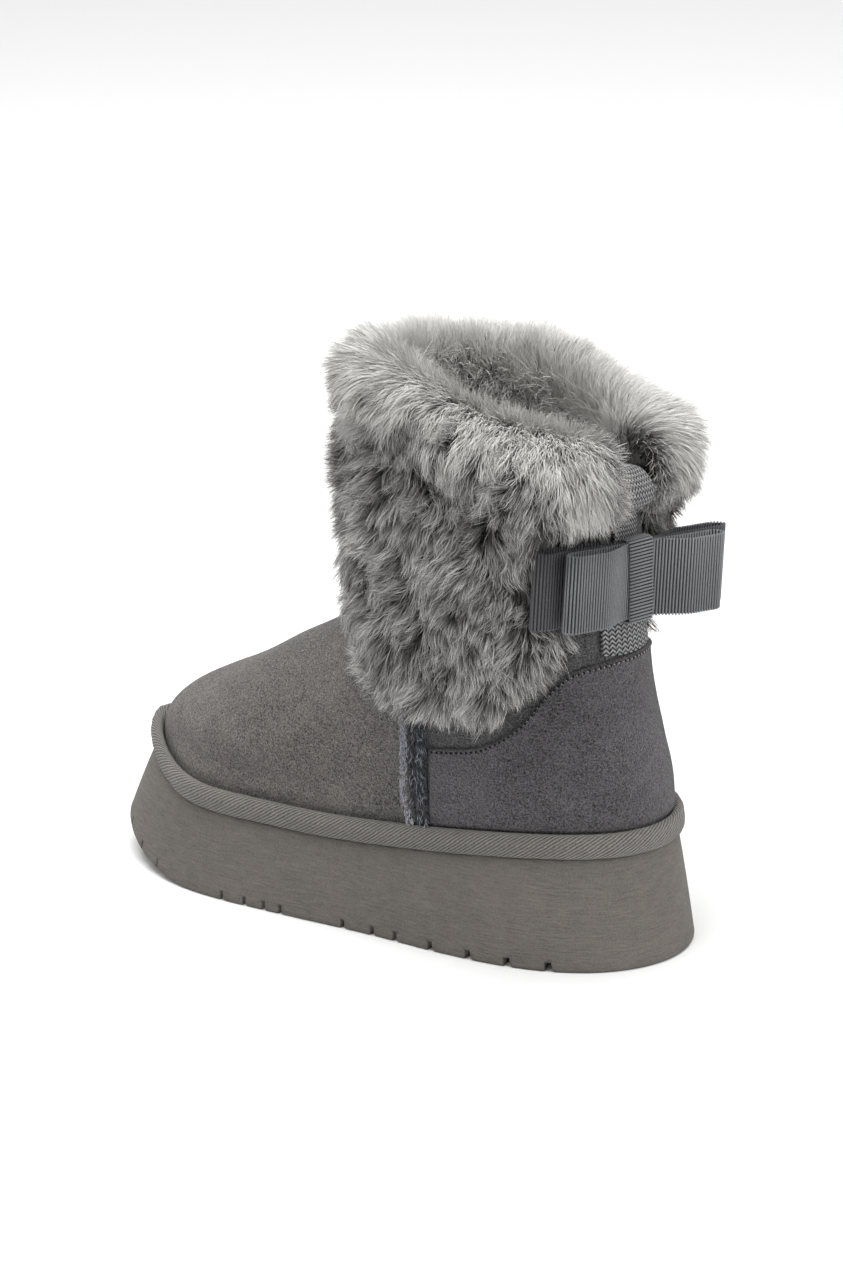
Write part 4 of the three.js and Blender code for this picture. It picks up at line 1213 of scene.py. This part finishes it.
def blade_rule():
    rule = Rule("blade_rule", Hair=None)
    sheet = rule.node("GeometryNodeMeshGrid", {}, {
        "Size X": 1.0, "Size Y": 1.0, "Vertices X": 2, "Vertices Y": 4})
    side, along_sheet, _ = rule.parts(rule.node("GeometryNodeInputPosition"))
    up = along_sheet + 0.5
    shape = rule.joined(up * (1.0 - up) * 4.0, side * (1.0 - up ** 1.7), up)
    kept = rule.store(rule.store(sheet, "up", up), "side", side)
    blade = rule.node("GeometryNodeSetPosition", {}, {"Geometry": kept, "Position": shape})
    blade = rule.node("GeometryNodeMergeByDistance", {}, {"Geometry": blade, "Distance": 0.0001})
    turn = rule.facing(rule.named("reach"), "X", rule.named("bulge"))
    laid = rule.laid(rule.given("Geometry"), blade, turn, rule.named("size"))
    real = rule.node("GeometryNodeRealizeInstances", {}, {0: laid})
    u = rule.named("side", "FLOAT") * 0.012 + rule.named("tint", "FLOAT")
    start = rule.named("root_tone_and_painted_light", "FLOAT")
    v = rule.named("up", "FLOAT") * (0.98 - start) + start
    mapped = rule.store(real, "OFBake", rule.joined(u, v, 0.0), "FLOAT2", "CORNER")
    rule.close(mapped, rule.given("Hair"))
    return rule


def hair_finish(name, root_tone, mid_tone, tip_tone):
    f = Finish(name, roughness=0.85, specular=0.12, sheen=0.2)
    where, u, v = f.cloth("OFBake")
    lengthwise = f.ramp([(0.0, root_tone), (0.4, mid_tone), (0.8, tip_tone), (1.0, tip_tone)], v)
    f.colour(f.scaled(lengthwise, 0.3 + u * 1.4))
    return f.material


blades = blade_rule()
fur_hair = hair_finish("fur_hair", tone(40, 40, 40), tone(108, 107, 105), tone(188, 187, 184))


def hair_piece(name, finish, chosen, root, reach, normal, arch, girth, tint, root_tone_and_painted_light):
    span = np.linalg.norm(reach[chosen], axis=1)
    spin = unit(normal[chosen] + 0.55 * fur_random.normal(size=(chosen.sum(), 3)))
    size = np.column_stack([span * arch[chosen], girth[chosen], span]) * MM
    mesh = bpy.data.meshes.new(name + "_roots")
    mesh.from_pydata((root[chosen] * MM).tolist(), [], [])
    for key, value in (("reach", reach[chosen]), ("bulge", spin), ("size", size)):
        held = mesh.attributes.new(key, "FLOAT_VECTOR", "POINT")
        held.data.foreach_set("vector", value.astype(np.float32).ravel())
    for key, value in (("tint", tint), ("root_tone_and_painted_light", root_tone_and_painted_light)):
        held = mesh.attributes.new(key, "FLOAT", "POINT")
        held.data.foreach_set("value", value[chosen].astype(np.float32))
    guide = bpy.data.objects.new(name + "_roots", mesh)
    bpy.context.scene.collection.objects.link(guide)
    piece = blades.apply(name, guide, Hair=finish)
    for spare in ("up", "side", "tint", "root_tone_and_painted_light", "reach", "bulge", "size"):
        if spare in piece.data.attributes:
            piece.data.attributes.remove(piece.data.attributes[spare])
    return piece


order = np.argsort(np.argsort(around))
pile_parts = 5
for part in range(pile_parts):
    chosen = (order * pile_parts // hair_count) == part
    pile = hair_piece(f"fur_pile_{part + 1}", fur_hair, chosen, root, reach, normal, arch, girth, tint,
                      root_tone_and_painted_light)
    settle(pile, "fur", fur_hair)

# %% Hairs on the slit's cut edges


def slit_hairs(count=5200):
    end = fur_random.integers(0, 2, count)
    column = np.where(end == 0, 0, ground_columns - 1)
    row = (ground_rows * 0.72 * fur_random.random(count)).astype(int)
    share = mix(0.25, 1.0, fur_random.random(count) ** 0.7)[:, None]
    foot = mix(ground_under[row, column], ground[row, column], share)
    beyond = np.where(end == 0, 1, ground_columns - 2)
    to_slit = unit(ground[row, column] - ground[row, beyond])
    outward = unit(ground[row, column] - ground_under[row, column])
    sinking = unit(ground[np.maximum(row - 1, 0), column] - ground[row + 1, column])
    lean = to_slit * 0.55 + outward * 0.75 + sinking * 0.55 + 0.25 * fur_random.normal(size=(count, 3))
    span = mix(7.0, 12.0, share[:, 0]) * (0.8 + 0.3 * fur_random.random(count))
    tip, hit = clear_of_bow(foot, foot + unit(lean) * span[:, None])
    tint = np.clip(0.34 + 0.13 * fur_random.normal(size=count), 0.02, 0.98)
    girth = 0.5 * (0.7 + 0.5 * fur_random.random(count))
    piece = hair_piece("fur_slit_edges", fur_hair, np.full(count, True), foot, tip - foot, outward,
                       np.where(hit, 0.03, 0.14), girth, tint, np.full(count, 0.02))
    return settle(piece, "fur", fur_hair)


slit_hairs()

# %% Pile in the side seams
seam_hair = hair_finish("seam_hair", tone(34, 35, 39), tone(74, 75, 82), tone(140, 141, 150))


def seam_pile(side, word):
    count = 1500
    u = fur_random.random(count)
    kind = fur_random.random(count)
    on_lip, strand = kind < 0.3, kind > 0.92
    v = np.where(on_lip, mix(0.72, 1.0, fur_random.random(count)), mix(0.08, 0.66, fur_random.random(count)))
    v -= 0.22 * smooth(0.22, 0.0, u)
    t, angle = seam_place(side, u, v)
    root = upper_at(t, angle, overlay_gap + np.where(on_lip, welt_height - 0.6, 0.6))
    out = upper_normal(t, angle)
    lean = unit(out + np.array([-0.5, 0, -0.9]) + 0.4 * fur_random.normal(size=(count, 3)))
    span = np.where(on_lip, 1.2, np.where(strand, 4.4, 2.6)) + 1.4 * fur_random.random(count)
    reach = lean * span[:, None]
    girth = np.where(strand, 0.5, 0.36) + 0.2 * fur_random.random(count)
    tint = np.where(on_lip, 0.97, np.where(strand, 0.8, 0.04)) + 0.07 * fur_random.normal(size=count)
    tint = np.clip(tint, 0.02, 0.98)
    piece = hair_piece(f"seam_pile_{word}", seam_hair, np.full(count, True), root, reach, out,
                       np.full(count, 0.12), girth, tint, np.where(on_lip, 0.6, 0.0))
    return settle(piece, "seam_pile", seam_hair)


for side, word in ((1, "outer"), (-1, "inner")):
    seam_pile(side, word)

# %% [markdown]
# The pull tape is knitted webbing in a herringbone. It climbs the back of the shaft in the slit, rolls
# over the collar into a finger loop, and is sewn down inside.

# %% Pull tape


def webbing_finish():
    f = Finish("tape_webbing", roughness=0.85, specular=0.25, sheen=0.1)
    where, u, v = f.cloth()
    column = (u / 2.8).fraction()
    slant = (column - 0.5).absolute()
    rows = f.between(-0.35, 0.35, ((v / 1.9 + slant * 1.5) * 2 * math.pi).sine())
    gap = f.between(0.6, 1.0, (column - 0.5).absolute() * 2)
    grain = f.noise(f.object_place(), 1500, 2, 0.7)
    shade = 0.16 + rows * 1.3 - gap * 0.3 + (grain - 0.5) * 2.2
    f.colour(f.scaled(tone(122, 122, 123), shade))
    f.bump(rows * 0.8 - gap * 0.8 + grain * 0.4, 1.0, 0.0009)
    return f.material


webbing = webbing_finish()
tape_top = [
    (-0.9, 0.0, 0), (-0.52, 0.04, 0), (-0.38, 0.4, 0), (-0.32, 0.95, 0), (-0.1, 1.2, 0), (0.12, 0.8, 0),
    (0.24, 0.1, 0), (0.2, 0, 3.2), (0.02, 0, 4.2), (-0.35, 0, 2.6), (-0.9, 0, 1.6),
]


def pull_tape():
    high = float(upper_face(collar_step, 0.0)[2])
    loop = []
    for above, out, inside in tape_top:
        sewn_in = -wall - overlay_gap - tape_thickness - (inside - 1.6)
        side = overlay_gap + out * pull_loop_depth if inside == 0 else sewn_in
        loop.append((side, above * pull_loop_height))
    low = heel_counter_height + 2 * clearance - high
    straight = [(overlay_gap, mix(low, loop[0][1], i / 6)) for i in range(6)]
    path = through(np.array(straight + loop)[:, None, :].repeat(2, 1), 130)[:, 0]
    run = unit(np.gradient(path, axis=0))
    aside = np.column_stack([run[:, 1], -run[:, 0]])
    lanes = np.linspace(-1, 1, 29)

    def side_of(line):
        p = line[:, None, :].repeat(len(lanes), 1)
        narrowing = smooth(bow_height - 15, bow_height + 15, high + p[..., 1])
        width = mix(tape_width, pull_loop_width - 5.5, narrowing)
        angle = slit_turn + 0.06 * narrowing + lanes[None, :] * np.arcsin(width / 2 / (ankle_width * 0.52))
        t = step_at_height(angle, upper_face(collar_step, angle)[..., 2] + np.minimum(p[..., 1], 0))
        point = upper_at(t, angle, p[..., 0])
        point[..., 2] += np.maximum(p[..., 1], 0)
        return point

    inner = side_of(path)
    outer = side_of(path + aside * tape_thickness)
    grid = np.concatenate([inner, outer[:, ::-1]], 1)
    gone = np.concatenate([[0], np.linalg.norm(np.diff(path, axis=0), axis=1).cumsum()])
    lane_u = np.concatenate([lanes * 14, lanes[::-1] * 14, lanes[:1] * 14])
    cloth = np.stack(np.broadcast_arrays(lane_u[None, :], np.append(gone, gone[-1])[:, None]), -1)
    return skin("pull_tape_webbing", grid, close_columns=True, caps=(0, len(path) - 1), cloth=cloth)


settle(pull_tape(), "webbing", webbing, "pull_tape")

# %% [markdown]
# Grosgrain is woven over thick cross cords, so it is a row of ribs. One rib is an oval cord as long as
# the ribbon is wide, and Geometry Nodes set it along the ribbon's path at the weave's own pitch, which
# also gives the ribbon its finely scalloped edges.

# %% Grosgrain ribs


def grosgrain_finish(name, colour):
    f = Finish(name, roughness=0.65, specular=0.3, sheen=0.1)
    place = f.object_place()
    clouds = f.noise(place, 60, 2)
    yarns = f.noise(place, 1800, 2, 0.7)
    shade = 0.98 + (clouds - 0.5) * 0.25 + (yarns - 0.5) * 0.8
    f.colour(f.scaled(colour, shade))
    f.bump(yarns, 0.7, 0.0004)
    return f.material


grosgrain = grosgrain_finish("grosgrain_cords", tone(116, 117, 120))
# The back loops use a darker copy of the same grosgrain: painted shade where they tuck into the fur.
painted_shade_grosgrain = grosgrain_finish("grosgrain_painted_shade", tone(78, 78, 82))
# The sheet between the cords is near black: painted shade in the gaps between the ribs.
painted_gap_shade = grosgrain_finish("grosgrain_painted_gap_shade", tone(24, 24, 26))


def ribbon_rule():
    rule = Rule("ribbon_rule", Pitch=0.0014, Thickness=0.0008, Width=0.031, Ribbon=None)
    turn = rule.facing(rule.named("across"), "Y", rule.node("GeometryNodeInputTangent"))
    cord = rule.node("GeometryNodeMeshCylinder", {}, {
        "Vertices": 8, "Side Segments": 1, "Radius": 0.5, "Depth": 1.0})
    size = rule.joined(rule.given("Thickness"), rule.given("Pitch") * 0.6, rule.given("Width"))
    rule.close(rule.laid(rule.measured_path(), cord, turn, size), rule.given("Ribbon"))
    return rule


ribs_along = ribbon_rule()


def loop_path(length, bend):
    turning = 0.88 + 0.12 * np.sin(np.linspace(0, math.pi / 2, 12))
    share = np.concatenate([np.linspace(0.0, 0.88, 40)[:-1], turning])
    round_end = np.sqrt(np.maximum(0, 1 - np.maximum(0, (share - 0.88) / 0.12) ** 2))
    half = bow_loop_depth / 2 * mix(bow_pinch, 1, smooth(0.1, 0.6, share)) * round_end - ribbon_thickness / 2
    half = np.maximum(half, 0.0)
    middle = bend * mix(0.9, bow_spread, smooth(0.1, 0.6, share))
    x = share * (length - ribbon_thickness / 2)
    front, rear = np.stack([x, middle + half], -1), np.stack([x, middle - half], -1)
    flip = np.array([-1, 1])
    path = np.concatenate([rear[:-1], front[::-1][:-1], (front * flip)[1:-1], (rear * flip)[::-1][:-1]])
    flat = np.column_stack([path, np.zeros(len(path))])
    return from_bow(flat)


def bow_sheet(name, points, across, width):
    """The sheet between the cords, near black as painted shade in the gaps: a closed strip, as wide as the
    ribbon and very thin.
    """
    run = unit(np.roll(points, -1, 0) - np.roll(points, 1, 0))
    side = unit(np.cross(run, across)) * 0.11
    half = across * (width / 2 - 0.5)
    corners = [-half - side, half - side, half + side, side - half]
    grid = np.stack([points + corner for corner in corners], 1)
    piece = skin(name, grid, close_rows=True, close_columns=True)
    piece.data.polygons.foreach_set("use_smooth", [False] * len(piece.data.polygons))
    return settle(piece, "ribbon", painted_gap_shade)


def bow_loops(name, length, bend, node, finish):
    points = loop_path(length, bend)
    upwards = from_bow(np.array([0.0, 0, 1])) - from_bow(np.zeros(3))
    guide = guide_line(name + "_path", points, closed=True, across=np.tile(upwards, (len(points), 1)))
    sizes = {"Pitch": 0.00135, "Thickness": 0.001, "Width": ribbon_width * MM}
    piece = ribs_along.apply(name, guide, **sizes, Ribbon=finish)
    bow_sheet(name + "_sheet", points, upwards, ribbon_width)
    return settle(piece, "ribbon", finish, node)


bow_loops("bow_front_ribbon", front_loop_length, 1, "bow_front_loops", grosgrain)
bow_loops("bow_back_ribbon", back_loop_length, -1, "bow_back_loops", painted_shade_grosgrain)


def bow_band():
    half = bow_loop_depth * bow_pinch / 2 + 0.9 + 3.5 * clearance + ribbon_thickness / 2
    high = ribbon_width / 2 + 3 * clearance + ribbon_thickness / 2
    turn = np.linspace(0, 2 * math.pi, 90, endpoint=False)
    y = np.sign(np.cos(turn)) * np.abs(np.cos(turn)) ** 0.35 * half
    z = np.sign(np.sin(turn)) * np.abs(np.sin(turn)) ** 0.12 * high
    points = from_bow(np.column_stack([np.zeros(90), y, z]), 0.0)
    across = from_bow(np.array([1.0, 0, 0]), 0.0) - from_bow(np.zeros(3), 0.0)
    guide = guide_line("bow_band_path", points, closed=True, across=np.tile(across, (90, 1)))
    sizes = {"Pitch": 0.0014, "Thickness": 0.0009, "Width": bow_band_width * MM}
    piece = ribs_along.apply("bow_band_ribbon", guide, **sizes, Ribbon=grosgrain)
    bow_sheet("bow_band_sheet", points, across, bow_band_width)
    return settle(piece, "ribbon", grosgrain, "bow_band")


bow_band()

# %% [markdown]
# A product picture on white: a pale floor that runs up behind the boot, a broad soft light from the
# front and above, and a white room that fills the shadows.

# %% Floor and light


def studio():
    white_card = (0.78, 0.78, 0.78, 1)
    ground_card = Finish("studio_floor", roughness=0.9, specular=0.0)
    ground_card.colour(white_card)
    wall_card = Finish("studio_backdrop", roughness=0.9, specular=0.0)
    wall_card.colour(white_card)
    wall_card.put(wall_card.sockets["Emission Color"], (1, 1, 1, 1))
    wall_card.put(wall_card.sockets["Emission Strength"], 0.8)
    mesh = bpy.data.meshes.new("studio_floor")
    profile = [(-6, 0), (2.5, 0)] + [
        (2.5 + 1.2 * math.sin(a), 1.2 - 1.2 * math.cos(a)) for a in np.linspace(0.1, math.pi / 2, 12)
    ] + [(3.7, 6.0)]
    away = Vector((0.5592, -0.829, 0.0))
    side = Vector((0.829, 0.5592, 0.0))
    points = [tuple(away * y + side * s + Vector((0, 0, z))) for y, z in profile for s in (-6, 6)]
    faces = [(2 * i, 2 * i + 1, 2 * i + 3, 2 * i + 2) for i in range(len(profile) - 1)]
    mesh.from_pydata(points, [], faces)
    mesh.polygons.foreach_set("use_smooth", [True] * len(mesh.polygons))
    floor = bpy.data.objects.new("studio_floor", mesh)
    bpy.context.scene.collection.objects.link(floor)
    mesh.materials.append(ground_card.material)
    mesh.materials.append(wall_card.material)
    mesh.polygons.foreach_set("material_index", [0] + [1] * (len(mesh.polygons) - 1))
    return floor


def soft_light(name, place, aim, size, power):
    lamp = bpy.data.lights.new(name, "AREA")
    lamp.shape = "RECTANGLE"
    lamp.size, lamp.size_y = size
    lamp.energy = power
    light = bpy.data.objects.new(name, lamp)
    light.location = place
    light.rotation_euler = (Vector(aim) - Vector(place)).to_track_quat("-Z", "Y").to_euler()
    bpy.context.scene.collection.objects.link(light)
    return light


studio()
room = bpy.data.worlds.new("white_room")
room.use_nodes = True
room.node_tree.nodes["Background"].inputs["Color"].default_value = (1, 1, 1, 1)
room.node_tree.nodes["Background"].inputs["Strength"].default_value = 0.42
bpy.context.scene.world = room
soft_light("top_light", (0.22, 0.1, 1.9), (0.06, 0, 0.12), (1.5, 1.5), 50)
soft_light("front_light", (0.1, 1.7, 1.3), (0.06, 0, 0.12), (1.2, 1.2), 6)
soft_light("heel_light", (-1.7, 0.0, 0.8), (0.0, 0, 0.12), (1.0, 1.0), 17)
bpy.context.scene.view_settings.view_transform = "Standard"
print("three soft lights in a white room")
